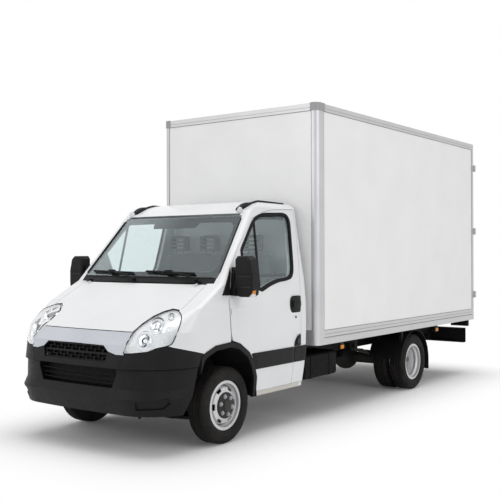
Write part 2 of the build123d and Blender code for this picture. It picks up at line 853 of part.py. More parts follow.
def tyre(centre_x):
    """A tyre with sloped shoulders and bulging walls, open at the rim."""
    half = TYRE_WIDTH / 2
    bead = RIM_WIDTH / 2 - RIM_GAUGE - SEAT
    tread = half - 36
    bore = SEAT_RADIUS + SEAT
    body = tyre_ring((-half, TYRE_RADIUS - 44), (-tread, TYRE_RADIUS), (tread, TYRE_RADIUS), (half, TYRE_RADIUS - 44))
    body = body - tyre_ring((-half, bore), (half, bore))
    for side in (-1, 1):
        body = body - tyre_ring((side * bead, RIM_RADIUS + 2), (side * half, TYRE_RADIUS - 84))
    cavity = bead - 18
    body = body - tyre_ring((-cavity, TYRE_RADIUS - 26), (cavity, TYRE_RADIUS - 26))
    return Pos(centre_x, 0, TYRE_RADIUS) * largest(body)


def rim(centre_x, face_x, outward):
    """A pressed steel wheel: flanged barrel with a drop centre, and a slotted dish."""
    half = RIM_WIDTH / 2
    well = RIM_WIDTH * 0.16
    gauge = RIM_GAUGE
    barrel = [
        (-half, RIM_RADIUS),
        (-half + gauge, RIM_RADIUS),
        (-half + gauge, SEAT_RADIUS),
        (-well - 20, SEAT_RADIUS - 2),
        (-well, WELL_RADIUS),
        (well, WELL_RADIUS),
        (well + 20, SEAT_RADIUS - 2),
        (half - gauge, SEAT_RADIUS),
        (half - gauge, RIM_RADIUS),
        (half, RIM_RADIUS),
        (half, SEAT_RADIUS - gauge),
        (well + 23, SEAT_RADIUS - gauge - 2),
        (well + 3, WELL_RADIUS - gauge),
        (-well - 3, WELL_RADIUS - gauge),
        (-well - 23, SEAT_RADIUS - gauge - 2),
        (-half, SEAT_RADIUS - gauge),
    ]
    face = face_x - centre_x
    root = 8 * outward
    crown = face
    gauge = DISC_GAUGE * outward
    dish = [
        (face, HUB_BORE),
        (face, 104),
        (crown, 122),
        (crown - 12 * outward, 160),
        (root, WELL_RADIUS - RIM_GAUGE + 1),
        (root - gauge, WELL_RADIUS - RIM_GAUGE + 1),
        (crown - 12 * outward - gauge, 151),
        (crown - gauge, 117),
        (face - gauge, 98),
        (face - gauge, HUB_BORE),
    ]
    body = revolve(make_face(Polyline(*barrel, close=True)), Axis.X)
    plate = revolve(make_face(Polyline(*dish, close=True)), Axis.X)
    cuts = []
    for number in range(SLOT_COUNT):
        slot = extrude(Plane.YZ.offset(-200) * SlotOverall(62, 26, rotation=90), 400)
        cuts.append(Rot(360 / SLOT_COUNT * number, 0, 0) * Pos(0, SLOT_CIRCLE, 0) * slot)
    wheel = body + (plate - cuts)
    return Pos(centre_x, 0, TYRE_RADIUS) * wheel


def knuckle():
    """Steering knuckle: upright between two ball joints, stub axle, hub, disc and steering arm."""
    low, high = TYRE_RADIUS - BALL_DROP, TYRE_RADIUS + BALL_DROP
    upright = block(KINGPIN_X - 22, KINGPIN_X + 22, -45, 45, low, high)
    hub = rod_x(KINGPIN_X, FRONT_FACE_X - DISC_GAUGE, 0, TYRE_RADIUS, HUB_RADIUS)
    disc = rod_x(KINGPIN_X + 30, KINGPIN_X + 56, 0, TYRE_RADIUS, 148)
    caliper = block(KINGPIN_X + 18, KINGPIN_X + 62, -160, -96, TYRE_RADIUS - 60, TYRE_RADIUS + 60)
    stub = rod_x(KINGPIN_X, FRONT_FACE_X + 26, 0, TYRE_RADIUS, HUB_BORE - SEAT)
    arm = block(KINGPIN_X - 20, KINGPIN_X, 0, 150, low + 30, low + 54)
    return largest(upright + hub + disc + caliper + stub + arm)


def front_subframe():
    """Front crossmember under the engine with lower and upper arms and the rack."""
    low, high = TYRE_RADIUS - BALL_DROP, TYRE_RADIUS + BALL_DROP
    beam = block(-420, 420, -110, 110, 300, 400)
    towers = block(300, 400, -100, 100, 400, RAIL_BOTTOM)
    lower = along_z([(380, -150), (400, 150), (KINGPIN_X, 28), (KINGPIN_X, -28)], low - 26, low - SEAT)
    drop = block(300, 420, -150, 150, low - 26, 301)
    upper = along_z([(380, -60), (380, 60), (KINGPIN_X, 26), (KINGPIN_X, -26)], high + SEAT, high + 24)
    pin = rod_z(KINGPIN_X, 0, low - 26, low - SEAT, 30) + rod_z(KINGPIN_X, 0, high + SEAT, high + 24, 30)
    half = towers + lower + drop + upper + pin
    rack = rod_x(-430, 430, 150, low + 60, 26) + block(-300, -260, 100, 160, 290, 330) + block(260, 300, 100, 160, 290, 330)
    return largest(beam + half + mirrored(half) + rack)


def chassis_rails():
    """Two channel rails, open towards the middle."""
    rail = block(RAIL_OUTER - RAIL_FLANGE, RAIL_OUTER, RAIL_FRONT, RAIL_REAR, RAIL_BOTTOM, RAIL_TOP)
    hollow = block(0, RAIL_OUTER - RAIL_GAUGE, -2000, 9000, RAIL_BOTTOM + RAIL_GAUGE, RAIL_TOP - RAIL_GAUGE)
    return both(largest(rail - hollow))


def crossmembers():
    """Crossmembers that sit inside the channel rails."""
    inside = RAIL_OUTER - RAIL_GAUGE
    members = []
    for y in (*CROSSMEMBER_YS, RAIL_REAR - 60):
        half = CROSSMEMBER_WIDTH / 2
        bar = block(-inside, inside, y - half, y + half, RAIL_BOTTOM + 30, RAIL_TOP - 30)
        ends = block(-inside, inside, y - half, y + half, RAIL_BOTTOM + RAIL_GAUGE, RAIL_TOP - RAIL_GAUGE)
        waist = block(-RAIL_OUTER + 75, RAIL_OUTER - 75, y - half - 1, y + half + 1, RAIL_BOTTOM, RAIL_TOP)
        members.append(bar + (ends - waist))
    return Compound(children=[solid for member in members for solid in member.solids()])


def engine():
    """Engine and gearbox as one plain block on its two mounts."""
    motor = block(-250, 250, ENGINE_FRONT, ENGINE_REAR, 430, 1010)
    gearbox = block(-150, 150, ENGINE_REAR, 130, 430, 640) + block(-150, 150, 130, GEARBOX_REAR, 340, 640)
    mounts = block(-(RAIL_OUTER - RAIL_GAUGE), RAIL_OUTER - RAIL_GAUGE, -260, -180, 580, 640)
    cooler = block(-340, 340, -840, -780, 480, 900) + block(-470, 470, -840, -790, BUMPER_TOP + 8, 930)
    hoses = block(-60, 60, -780, ENGINE_FRONT, 700, 760)
    return largest(motor + gearbox + mounts + cooler + hoses)


def rear_axle():
    """Live rear axle with its differential, drums and two leaf springs."""
    y, z = WHEELBASE, TYRE_RADIUS
    tube = rod_x(-(TWIN_MID_X + 30), TWIN_MID_X + 30, y, z, HUB_BORE - SEAT)
    casing = rod_x(-560, 560, y, z, 62)
    differential = Pos(0, y, z) * Sphere(165)
    hub_end = TWIN_MID_X - DISC_GAUGE - SEAT
    hubs = rod_x(-hub_end, hub_end, y, z, HUB_RADIUS)
    drum = rod_x(600, 730, y, z, 140)
    axle = tube + casing + hubs + differential + drum + mirrored(drum)
    nose = rod_y(0, y - AXLE_NOSE, y, SHAFT_Z, 55)
    spring = Pos(SPRING_X, 0, 0) * leaf_spring()
    return largest(axle + nose + spring + mirrored(spring))


def leaf_spring():
    """A bowed pack of leaves with its eyes, shackles and clamp plate."""
    y, half = WHEELBASE, SPRING_WIDTH / 2
    front, rear = (y - 700, 560), (y + 700, 570)
    pack = []
    for leaf in range(3):
        reach = 1 - 0.24 * leaf
        ends = [(y - 700 * reach, 560 - 30 * leaf), (y, 430 - 16 * leaf), (y + 700 * reach, 560 - 30 * leaf)]
        drop = 17
        edges = [
            ThreePointArc(*ends),
            Line(ends[2], (ends[2][0], ends[2][1] - drop)),
            ThreePointArc(*[(a, b - drop) for a, b in reversed(ends)]),
            Line((ends[0][0], ends[0][1] - drop), ends[0]),
        ]
        pack.append(extrude(Plane.YZ.offset(-half) * make_face(edges), SPRING_WIDTH))
    clamp = block(-half - 12, half + 12, y - 70, y + 70, 330, 440)
    eyes = [rod_x(-half, half, ey, ez - 8, 24) for ey, ez in (front, rear)]
    hangers = [block(-half, -half + 12, ey - 30, ey + 30, ez - 40, 640) for ey, ez in (front, rear)]
    hangers += [block(half - 12, half, ey - 30, ey + 30, ez - 40, 640) for ey, ez in (front, rear)]
    feet = [block(RAIL_OUTER - SPRING_X, half, ey - 40, ey + 40, 610, 650) for ey, ez in (front, rear)]
    return pack[0] + pack[1:] + clamp + eyes + hangers + feet


def propeller_shaft():
    """The shaft from the gearbox to the rear axle's nose, with its two joints."""
    start, end = GEARBOX_REAR, WHEELBASE - AXLE_NOSE
    shaft = rod_y(0, start, end, SHAFT_Z, 38)
    joints = [rod_y(0, y, y + 70, SHAFT_Z, 52) for y in (start, end - 70)]
    return largest(shaft + joints)


def exhaust():
    """Down pipe, silencer and tail pipe, hung from a crossmember."""
    pipe = rod_y(EXHAUST_X, ENGINE_REAR, 1400, 480, 25)
    silencer = rod_y(EXHAUST_X, 1400, 2000, 450, 85)
    tail = rod_y(EXHAUST_X, 2000, 2900, 450, 25)
    hanger = block(EXHAUST_X - 12, EXHAUST_X + 12, 2085, 2115, 450, RAIL_BOTTOM + 30)
    return largest(pipe + silencer + tail + hanger)


def fuel_tank():
    """The tank on the left rail behind the cab, with its two straps."""
    tank = block(TANK_X[0], TANK_X[1], TANK_Y[0], TANK_Y[1], TANK_Z[0], TANK_Z[1])
    tank = fillet(tank.edges(), 36)
    straps = []
    for y in (TANK_Y[0] + 150, TANK_Y[1] - 150):
        band = block(TANK_X[0] - 4, TANK_X[1] + 4, y - 25, y + 25, TANK_Z[0] - 4, TANK_Z[1] + 4)
        straps.append(fillet(band.edges().filter_by(Axis.Y), 38))
        straps.append(block(RAIL_OUTER, TANK_X[0] + 10, y - 30, y + 30, TANK_Z[1] - 90, TANK_Z[1] - 10))
    return largest(tank + straps)


def mudguards():
    """Curved guards over the twin wheels, with a hanging flap behind."""
    outer, inner = GUARD_RADIUS + GUARD_WALL, GUARD_RADIUS
    ring = Circle(outer) - Circle(inner)
    wedge = outline([(0, 0), (-700, 120), (-700, 700), (700, 700), (700, 0)])
    arc = extrude(Plane.YZ.offset(GUARD_INNER) * (ring & wedge), GUARD_OUTER - GUARD_INNER)
    guard = Pos(0, WHEELBASE, TYRE_RADIUS) * arc
    rear = WHEELBASE + inner
    flap = block(GUARD_INNER, GUARD_OUTER, rear, rear + GUARD_WALL, FLAP_BOTTOM, TYRE_RADIUS)
    stays = []
    for y in bearer_ys():
        if abs(y - WHEELBASE) < inner * 0.75:
            low = TYRE_RADIUS + sqrt((inner + GUARD_WALL / 2) ** 2 - (y - WHEELBASE) ** 2)
            for x in (GUARD_INNER + 84, GUARD_OUTER - 54):
                stays.append(block(x - 20, x + 20, y - 20, y + 20, low, BEARER_BOTTOM))
    return both(largest(guard + flap + stays))


def underrun_bar():
    """The channel across the tail with its two brackets under the rails."""
    low, high = BAR_Z
    bar = block(-BAR_HALF, BAR_HALF, BAR_Y[0], BAR_Y[1], low, high)
    hollow = block(-BAR_HALF - 1, BAR_HALF + 1, BAR_Y[0] - 1, BAR_Y[1] - 6, low + 6, high - 6)
    stays = [block(x - 60, x, RAIL_REAR - 60, BAR_Y[1] - 3, low + 20, RAIL_BOTTOM) for x in (RAIL_OUTER, -RAIL_OUTER + 60)]
    return largest((bar - hollow) + stays)


# Box body
INNER_X = BOX_HALF - RAIL_THICK
POST_X = BOX_HALF - POST_FRONT
POST_Y = BOX_FRONT + POST_SIDE
FRAME_Y = BOX_REAR - REAR_DEPTH
RAIL_INNER_Y = BOX_FRONT + RAIL_THICK
LOWER_TOP = BOX_BOTTOM + LOWER_RAIL
UPPER_BOTTOM = BOX_TOP - UPPER_RAIL
BEARER_BOTTOM = 772
FLOOR_BOTTOM = BEARER_BOTTOM + BEARER_HEIGHT
FLOOR_LEVEL = FLOOR_BOTTOM + FLOOR_THICK


def bearer_ys():
    """Where the crossbearers lie, evenly spaced under the floor."""
    pitch = (FRAME_Y - RAIL_INNER_Y - 120) / (BEARER_COUNT - 1)
    return [RAIL_INNER_Y + 60 + number * pitch for number in range(BEARER_COUNT)]


def box_floor():
    """Floor sheet on crossbearers, with two long bearers that stand on the chassis rails."""
    sheet = block(-INNER_X, INNER_X, RAIL_INNER_Y, FRAME_Y, FLOOR_BOTTOM, FLOOR_LEVEL)
    bearers = []
    for y in bearer_ys():
        bar = block(-INNER_X, INNER_X, y - 25, y + 25, BEARER_BOTTOM, FLOOR_BOTTOM)
        groove = block(-INNER_X - 1, INNER_X + 1, y - 19, y + 26, BEARER_BOTTOM + 6, FLOOR_BOTTOM - 6)
        bearers.append(bar - groove)
    long_bearer = block(RAIL_OUTER - 60, RAIL_OUTER, BOX_FRONT + 60, RAIL_REAR, RAIL_TOP, FLOOR_BOTTOM)
    return largest(sheet + bearers + long_bearer + mirrored(long_bearer))


def box_front_wall():
    y = BOX_FRONT + WALL_SET_BACK
    return block(-POST_X, POST_X, y, y + WALL_THICK, LOWER_TOP, UPPER_BOTTOM)


def box_side_walls():
    x = BOX_HALF - WALL_SET_BACK
    return both(block(x - WALL_THICK, x, POST_Y, FRAME_Y, LOWER_TOP, UPPER_BOTTOM))


def box_roof():
    top = BOX_TOP - WALL_SET_BACK
    return block(-INNER_X, INNER_X, RAIL_INNER_Y, FRAME_Y, top - WALL_THICK, top)


def box_rails():
    """The grooved lower rails and plain upper rails round the sides and front."""
    pieces = []
    for low, high in ((BOX_BOTTOM, LOWER_TOP), (UPPER_BOTTOM, BOX_TOP)):
        side = block(INNER_X, BOX_HALF, POST_Y, FRAME_Y, low, high)
        front = block(-POST_X, POST_X, BOX_FRONT, RAIL_INNER_Y, low, high)
        if low == BOX_BOTTOM:
            side = side - block(BOX_HALF - 5, BOX_HALF + 5, 0, 9000, low + RAIL_GROOVE, low + RAIL_GROOVE + 10)
            front = front - block(-BOX_HALF, BOX_HALF, 0, BOX_FRONT + 5, low + RAIL_GROOVE, low + RAIL_GROOVE + 10)
        pieces += [side, mirrored(side), front]
    return Compound(children=[solid for piece in pieces for solid in piece.solids()])


def box_corner_posts():
    """Rounded corner profiles at the front, each with its cap at the top."""
    plan = [
        Line((POST_X, BOX_FRONT), (BOX_HALF - POST_ROUND, BOX_FRONT)),
        ThreePointArc(
            (BOX_HALF - POST_ROUND, BOX_FRONT),
            (BOX_HALF - POST_ROUND * (1 - sqrt(0.5)), BOX_FRONT + POST_ROUND * (1 - sqrt(0.5))),
            (BOX_HALF, BOX_FRONT + POST_ROUND),
        ),
        Line((BOX_HALF, BOX_FRONT + POST_ROUND), (BOX_HALF, POST_Y)),
        Line((BOX_HALF, POST_Y), (INNER_X, POST_Y)),
        Line((INNER_X, POST_Y), (INNER_X, RAIL_INNER_Y)),
        Line((INNER_X, RAIL_INNER_Y), (POST_X, RAIL_INNER_Y)),
        Line((POST_X, RAIL_INNER_Y), (POST_X, BOX_FRONT)),
    ]
    post = extrude(Plane.XY.offset(BOX_BOTTOM) * make_face(plan), BOX_TOP - BOX_BOTTOM)
    return both(largest(post + corner_cap()))


def corner_cap():
    """The moulded cap that closes a corner post and laps over the rails beside it."""
    low, high = UPPER_BOTTOM - 2, BOX_TOP + CAP_THICK
    shell = block(POST_X - CAP_LAP, BOX_HALF + CAP_THICK, BOX_FRONT - CAP_THICK, POST_Y + CAP_LAP, low, high)
    corner = shell.edges().filter_by(Axis.Z).sort_by(Axis.X)[-2:].sort_by(Axis.Y)[0]
    shell = fillet(corner, POST_ROUND + CAP_THICK)
    shell = fillet(shell.faces().sort_by(Axis.Z)[-1].edges(), CAP_THICK - 1)
    side = block(0, BOX_HALF + SEAT, POST_Y, 9000, 0, BOX_TOP + SEAT)
    front = block(0, POST_X, BOX_FRONT - SEAT, 9000, 0, BOX_TOP + SEAT)
    inside = block(0, INNER_X, RAIL_INNER_Y, 9000, 0, BOX_TOP + SEAT)
    return shell - side - front - inside


def box_rear_frame():
    """The frame round the rear opening with its rebate and the hinge leaves."""
    frame = block(-BOX_HALF, BOX_HALF, FRAME_Y, BOX_REAR, BOX_BOTTOM, BOX_TOP)
    frame = frame - block(-OPENING_X, OPENING_X, FRAME_Y - 1, BOX_REAR + 1, FLOOR_LEVEL, UPPER_BOTTOM)
    lip = block(-OPENING_X, OPENING_X, FRAME_Y, DOOR_FACE - DOOR_THICK - GAP - 1, FLOOR_LEVEL, UPPER_BOTTOM)
    lip = lip - block(-OPENING_X + 20, OPENING_X - 20, 0, 9000, FLOOR_LEVEL + 12, UPPER_BOTTOM - 20)
    leaves = []
    for z in HINGE_ZS:
        leaf = block(BOX_HALF, BOX_HALF + 6, HINGE_Y - 50, HINGE_Y, z - HINGE_HALF, z - 1)
        leaf = leaf + block(BOX_HALF, HINGE_X, HINGE_Y - 6, HINGE_Y + 6, z - HINGE_HALF, z - 1)
        leaf = leaf + rod_z(HINGE_X, HINGE_Y, z - HINGE_HALF, z - 1, HINGE_RADIUS)
        leaf = leaf - rod_z(HINGE_X, HINGE_Y, z - HINGE_HALF - 1, z, 5 + SEAT)
        leaves += [leaf, mirrored(leaf)]
    return largest(frame + lip + leaves)


DOOR_FACE = BOX_REAR - 2
HINGE_Y = BOX_REAR + HINGE_OUT


def box_door():
    """The left leaf of the rear doors: a flat panel with a rim."""
    panel_solid = block(GAP / 2, OPENING_X - GAP, DOOR_FACE - DOOR_THICK, DOOR_FACE, FLOOR_LEVEL + GAP, UPPER_BOTTOM - GAP)
    return panel_solid


def door_gear():
    """Hinge straps and two lock bars with guides and handles on the left door."""
    pieces = []
    strap_y = BOX_REAR + GAP
    for z in HINGE_ZS:
        pieces.append(block(STRAP_X, HINGE_X, strap_y, strap_y + 6, z + 1, z + HINGE_HALF))
        pieces.append(block(STRAP_X, OPENING_X - GAP - 6, DOOR_FACE, strap_y, z + 1, z + HINGE_HALF))
        pieces.append(
            rod_z(HINGE_X, HINGE_Y, z + 1, z + HINGE_HALF, HINGE_RADIUS) + rod_z(HINGE_X, HINGE_Y, z - HINGE_HALF, z + 2, 5)
        )
    bar_y = DOOR_FACE + LOCK_STAND
    for x in LOCK_XS:
        pieces.append(rod_z(x, bar_y, FLOOR_LEVEL - 70, UPPER_BOTTOM + 40, LOCK_RADIUS))
        for z in GUIDE_ZS:
            pieces.append(block(x - 28, x + 28, DOOR_FACE, bar_y, z - 25, z + 25))
        pieces.append(block(x, x + 230, bar_y - 5, bar_y + 5, HANDLE_Z - 14, HANDLE_Z + 14))
        pieces.append(block(x + 190, x + 230, DOOR_FACE, bar_y, HANDLE_Z - 30, HANDLE_Z + 30))
    fused = pieces[0].fuse(*pieces[1:])
    return Compound(children=list(fused.solids()))


def lamps():
    """Roof corner lamps, side markers and tail lamps."""
    roof_form = form(GLASS_SECTIONS) & roof_side() & roof_across()
    raised = Pos(0, 0, ROOF_LAMP_RISE) * roof_form
    corner = (raised - roof_form) & block(655, 732, 455, 640, 2100, 2300)
    pieces = [largest(corner)]
    for y in MARKER_YS:
        x, low = BOX_HALF - 29.5, BOX_BOTTOM - 70
        foot = block(x - 8, x + 8, y - 12, y + 12, low + 40, BOX_BOTTOM)
        pieces.append(block(x - 12, x + 12, y - 32, y + 32, low, low + 42) + foot)
    x = BOX_HALF - 223.5
    tail = block(x - 130, x + 130, FRAME_Y - 20, BOX_REAR - 12, BOX_BOTTOM - 115, BOX_BOTTOM - 6)
    tail = fillet(tail.edges().filter_by(Axis.Y), 12)
    pieces.append(tail + block(x - 30, x + 30, FRAME_Y, BOX_REAR - 20, BOX_BOTTOM - 20, BOX_BOTTOM))
    solids = [solid for piece in pieces for solid in piece.solids()]
    return Compound(children=[*solids, *[mirrored(solid) for solid in solids]])


def twin_wheels():
    """Two rims back to back and their tyres, on the left end of the rear axle."""
    inner_x = TWIN_MID_X - TWIN_SPACING / 2
    outer_x = TWIN_MID_X + TWIN_SPACING / 2
    place = Pos(0, WHEELBASE, 0)
    rims = place * (rim(inner_x, TWIN_MID_X, 1) + rim(outer_x, TWIN_MID_X, -1))
    tyres = Compound(children=[*(place * tyre(inner_x)).solids(), *(place * tyre(outer_x)).solids()])
    return rims, tyres


wall = cab_wall()
save("bonnet", bonnet())
save("wings", wings())
save("corner_panels", corner_panels())
save("silver_panel", silver_panel())
save("grille", grille())
save("headlamps", headlamps())
save("front_bumper", bumper())
save("cowl", cowl())
save("windscreen", windscreen())
save("cab_roof", roof())
save("cab_side_frames", side_frames(wall))
save("cab_back_wall", back_wall(wall))
save("cab_floor", cab_floor())
save("dashboard", dashboard())
save("steering_wheel", steering_wheel())
save("seats", seats())
one_side("cab_door", cab_door())
one_side("door_glass", door_glass())
one_side("mirror", mirror_left())
save("arch_linings", arch_linings())
one_side("knuckle", knuckle())
one_side("front_rim", rim(FRONT_WHEEL_X, FRONT_FACE_X, 1))
one_side("front_tyre", tyre(FRONT_WHEEL_X))
save("front_subframe", front_subframe())
save("chassis_rails", chassis_rails())
save("crossmembers", crossmembers())
save("engine", engine())
save("rear_axle", rear_axle())
save("propeller_shaft", propeller_shaft())
save("exhaust", exhaust())
save("fuel_tank", fuel_tank())
rear_rims, rear_tyres = twin_wheels()
one_side("rear_rims", rear_rims)
one_side("rear_tyres", rear_tyres)
save("mudguards", mudguards())
save("underrun_bar", underrun_bar())
save("box_floor", box_floor())
save("box_front_wall", box_front_wall())
save("box_side_walls", box_side_walls())
save("box_roof", box_roof())
save("box_rails", box_rails())
save("box_corner_posts", box_corner_posts())
save("box_rear_frame", box_rear_frame())
one_side("box_door", box_door())
one_side("door_gear", door_gear())
save("lamps", lamps())
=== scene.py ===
"""The finish of a box van: its paint, glass, lamps, tyres, seats and trim, round the van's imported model.

The van stands on the floor with its nose towards -Y, its left side towards +X and +Z up. Lengths are metres.
Places that are given from the front axle go through from_axle().
"""
import json
import math

import bmesh
import bpy
from mathutils import Matrix, Vector
from mathutils.bvhtree import BVHTree


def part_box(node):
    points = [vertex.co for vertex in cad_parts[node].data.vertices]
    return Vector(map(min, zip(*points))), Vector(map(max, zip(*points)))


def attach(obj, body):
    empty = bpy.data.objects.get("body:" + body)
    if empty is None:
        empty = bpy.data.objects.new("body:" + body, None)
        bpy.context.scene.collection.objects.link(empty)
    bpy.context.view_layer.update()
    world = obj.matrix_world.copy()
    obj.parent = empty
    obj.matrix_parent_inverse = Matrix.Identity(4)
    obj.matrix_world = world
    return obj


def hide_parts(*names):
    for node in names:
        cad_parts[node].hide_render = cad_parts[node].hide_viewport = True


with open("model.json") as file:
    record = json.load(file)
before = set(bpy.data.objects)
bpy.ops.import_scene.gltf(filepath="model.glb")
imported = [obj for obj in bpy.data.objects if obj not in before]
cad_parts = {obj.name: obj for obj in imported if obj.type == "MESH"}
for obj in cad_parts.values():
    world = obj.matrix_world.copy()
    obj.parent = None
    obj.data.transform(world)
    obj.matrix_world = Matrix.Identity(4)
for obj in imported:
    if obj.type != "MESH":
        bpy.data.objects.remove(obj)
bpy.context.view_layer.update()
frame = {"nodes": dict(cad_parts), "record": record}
nodes = frame["nodes"]


def middle(node):
    """The centre of a node's box."""
    low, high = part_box(node)
    return (low + high) / 2


AXLE_Y = middle("front_tyre_left").y
TYRE_RADIUS = middle("front_tyre_left").z
SIDES = (("left", 1), ("right", -1))
# Looks at the van start this far out from its middle, or this far ahead of the front axle
OUTSIDE = 1.4
AHEAD = -1.5
REARWARD = (0, 1, 0)
# The bodies of a pair's left and right piece when both are fixed to the van
BODIES = ("vehicle", "vehicle")


def from_axle(x, y, z):
    """A point given from the front axle's line, in the row's frame."""
    return Vector((x, AXLE_Y + y, z))


def from_side(path, sign):
    """Where looks at the van's side start: a path's points along and up, moved outside."""
    return [from_axle(OUTSIDE * sign, p.y, p.z) for p in path]


def from_front(path):
    """Where looks at the van's front start: a path's points across and up, moved ahead."""
    return [from_axle(p.x, AHEAD, p.z) for p in path]


def evenly(start, step, number):
    """A number of values, a step apart."""
    return [start + step * k for k in range(number)]


# Materials

def feed(owner, socket, value):
    """Gives a socket its value, or the output that drives it."""
    if isinstance(value, bpy.types.NodeSocket):
        owner.node_tree.links.new(value, socket)
    else:
        socket.default_value = value


def add(owner, kind, inputs, **settings):
    """A new shader node with its settings and inputs."""
    made = owner.node_tree.nodes.new(f"ShaderNode{kind}")
    for name, value in settings.items():
        setattr(made, name, value)
    for name, value in inputs.items():
        feed(owner, made.inputs[name], value)
    return made


def shader(name, color, roughness, metal=0.0, coat=0.0, coat_roughness=0.05, shine=0.5):
    """A new material and its main shader, with the values that are the same all over."""
    material = bpy.data.materials.new(name)
    material.use_nodes = True
    main = material.node_tree.nodes["Principled BSDF"]
    main.inputs["Base Color"].default_value = (*color, 1)
    main.inputs["Roughness"].default_value = roughness
    main.inputs["Metallic"].default_value = metal
    main.inputs["Coat Weight"].default_value = coat
    main.inputs["Coat Roughness"].default_value = coat_roughness
    main.inputs["Specular IOR Level"].default_value = shine
    return material, main


def place_on(material, stretch=(1, 1, 1)):
    """Object coordinates, stretched."""
    place = add(material, "TexCoord", {}).outputs["Object"]
    return add(material, "Mapping", {"Vector": place, "Scale": stretch}).outputs["Vector"]


def clouds(material, scale, detail=3.0, stretch=(1, 1, 1)):
    """A soft cloudy pattern."""
    inputs = {"Vector": place_on(material, stretch), "Scale": scale, "Detail": detail}
    return add(material, "TexNoise", inputs).outputs["Fac"]


def ramp(material, value, low, high, start=0.3, end=0.7):
    """Two colours, or two grey levels, along a value."""
    mix = add(material, "ValToRGB", {"Fac": value})
    for element, place, color in zip(mix.color_ramp.elements, (start, end), (low, high)):
        element.position = place
        element.color = (color, color, color, 1) if isinstance(color, float) else (*color, 1)
    return mix.outputs["Color"]


def vary(material, main, name, pattern, low, high):
    """Lets one of the shader's values follow a pattern."""
    feed(material, main.inputs[name], ramp(material, pattern, low, high))


def bump(material, main, value, strength, distance):
    """Lets a pattern raise the surface."""
    raised = add(material, "Bump", {"Height": value, "Strength": strength, "Distance": distance})
    feed(material, main.inputs["Normal"], raised.outputs["Normal"])


def paint(name, low, high, roughness, metal=0.0, coat=0.5):
    """Sprayed body paint with a faint cloud in its colour and a fine orange-peel surface."""
    material, main = shader(name, high, roughness, metal, coat, 0.08)
    vary(material, main, "Base Color", clouds(material, 2.2), low, high)
    bump(material, main, clouds(material, 420, 2), 0.05, 0.0002)
    return material


def grained(name, low, high, rough_low, rough_high, grain, depth, shine=0.22):
    """Moulded plastic with a fine grain and uneven dullness."""
    material, main = shader(name, high, rough_high, shine=shine)
    vary(material, main, "Base Color", clouds(material, 7), low, high)
    vary(material, main, "Roughness", clouds(material, 30), rough_low, rough_high)
    bump(material, main, clouds(material, grain, 4), 0.5, depth)
    return material


def brushed(name, low, high, rough_low, rough_high, stretch):
    """Metal with fine drawn lines along one way."""
    material, main = shader(name, high, rough_high, metal=1.0)
    lines = clouds(material, 40, 5, stretch)
    vary(material, main, "Base Color", clouds(material, 3), low, high)
    vary(material, main, "Roughness", lines, rough_low, rough_high)
    bump(material, main, lines, 0.08, 0.0003)
    return material


def polished(name, low, high, roughness, metal):
    """A smooth bright lamp surface with a faint cloud in its colour."""
    material, main = shader(name, high, roughness, metal)
    vary(material, main, "Base Color", clouds(material, 9), low, high)
    vary(material, main, "Roughness", clouds(material, 40), roughness * 0.8, roughness)
    return material


def capped(name, level, metal_color, cap_color):
    """Drawn aluminium with a moulded grey plastic cap above a height."""
    material = brushed(name, *metal_color, 0.42, 0.5, (1, 1, 30))
    main = material.node_tree.nodes["Principled BSDF"]
    height = add(material, "SeparateXYZ", {"Vector": place_on(material)}).outputs["Z"]
    above = add(material, "Math", {0: height, 1: level}, operation="GREATER_THAN").outputs["Value"]
    bare = add(material, "Math", {0: 1.0, 1: above}, operation="SUBTRACT").outputs["Value"]
    color_in = main.inputs["Base Color"]
    inputs = {"A": color_in.links[0].from_socket, "B": (*cap_color, 1), "Factor": above}
    feed(material, color_in, add(material, "Mix", inputs, data_type="RGBA").outputs["Result"])
    feed(material, main.inputs["Metallic"], bare)
    return material


def window(name, tint, clear, least):
    """Thin tinted glass: most light goes straight on, and the surface mirrors more at a flat angle."""
    material, main = shader(name, tint, 0.03, metal=1.0)
    through = add(material, "BsdfTransparent", {"Color": (*clear, 1)})
    edge = add(material, "LayerWeight", {"Blend": 0.5})
    share = ramp(material, edge.outputs["Facing"], least, 0.95, 0.45, 1.0)
    mix = add(material, "MixShader", {"Fac": share, 1: through.outputs["BSDF"], 2: main.outputs["BSDF"]})
    feed(material, material.node_tree.nodes["Material Output"].inputs["Surface"], mix.outputs["Shader"])
    return material


def cloth(name, low, high):
    """Woven seat cloth."""
    material, main = shader(name, high, 0.95)
    main.inputs["Sheen Weight"].default_value = 0.35
    weave = add(material, "TexChecker", {"Vector": place_on(material), "Scale": 260})
    vary(material, main, "Base Color", clouds(material, 60), low, high)
    bump(material, main, weave.outputs["Fac"], 0.25, 0.0006)
    return material


WHITE = paint("body_white", (0.80, 0.81, 0.82), (0.84, 0.85, 0.86), 0.4)
SILVER = paint("panel_silver", (0.50, 0.52, 0.57), (0.58, 0.60, 0.65), 0.32, 0.35)
WHEEL = paint("wheel_silver", (0.54, 0.54, 0.55), (0.66, 0.66, 0.67), 0.34, 0.55, 0.3)
PANEL = paint("wall_white", (0.895, 0.895, 0.90), (0.935, 0.935, 0.94), 0.36, coat=0.4)
BLACK = grained(
    "bumper_black", (0.007, 0.007, 0.008), (0.011, 0.011, 0.0125), 0.42, 0.55, 900, 0.0004, 0.16
)
LINING = grained("cab_lining", (0.13, 0.135, 0.14), (0.19, 0.195, 0.20), 0.6, 0.8, 700, 0.0005)
GLOSS = grained("smooth_black", (0.006, 0.006, 0.007), (0.010, 0.010, 0.011), 0.12, 0.22, 60, 0.0001, 0.4)
RUBBER = grained("tyre_rubber", (0.012, 0.0115, 0.011), (0.024, 0.022, 0.021), 0.65, 0.85, 350, 0.0004, 0.15)
CAP = grained("wheel_cap", (0.022, 0.022, 0.023), (0.032, 0.032, 0.033), 0.4, 0.55, 500, 0.0003)
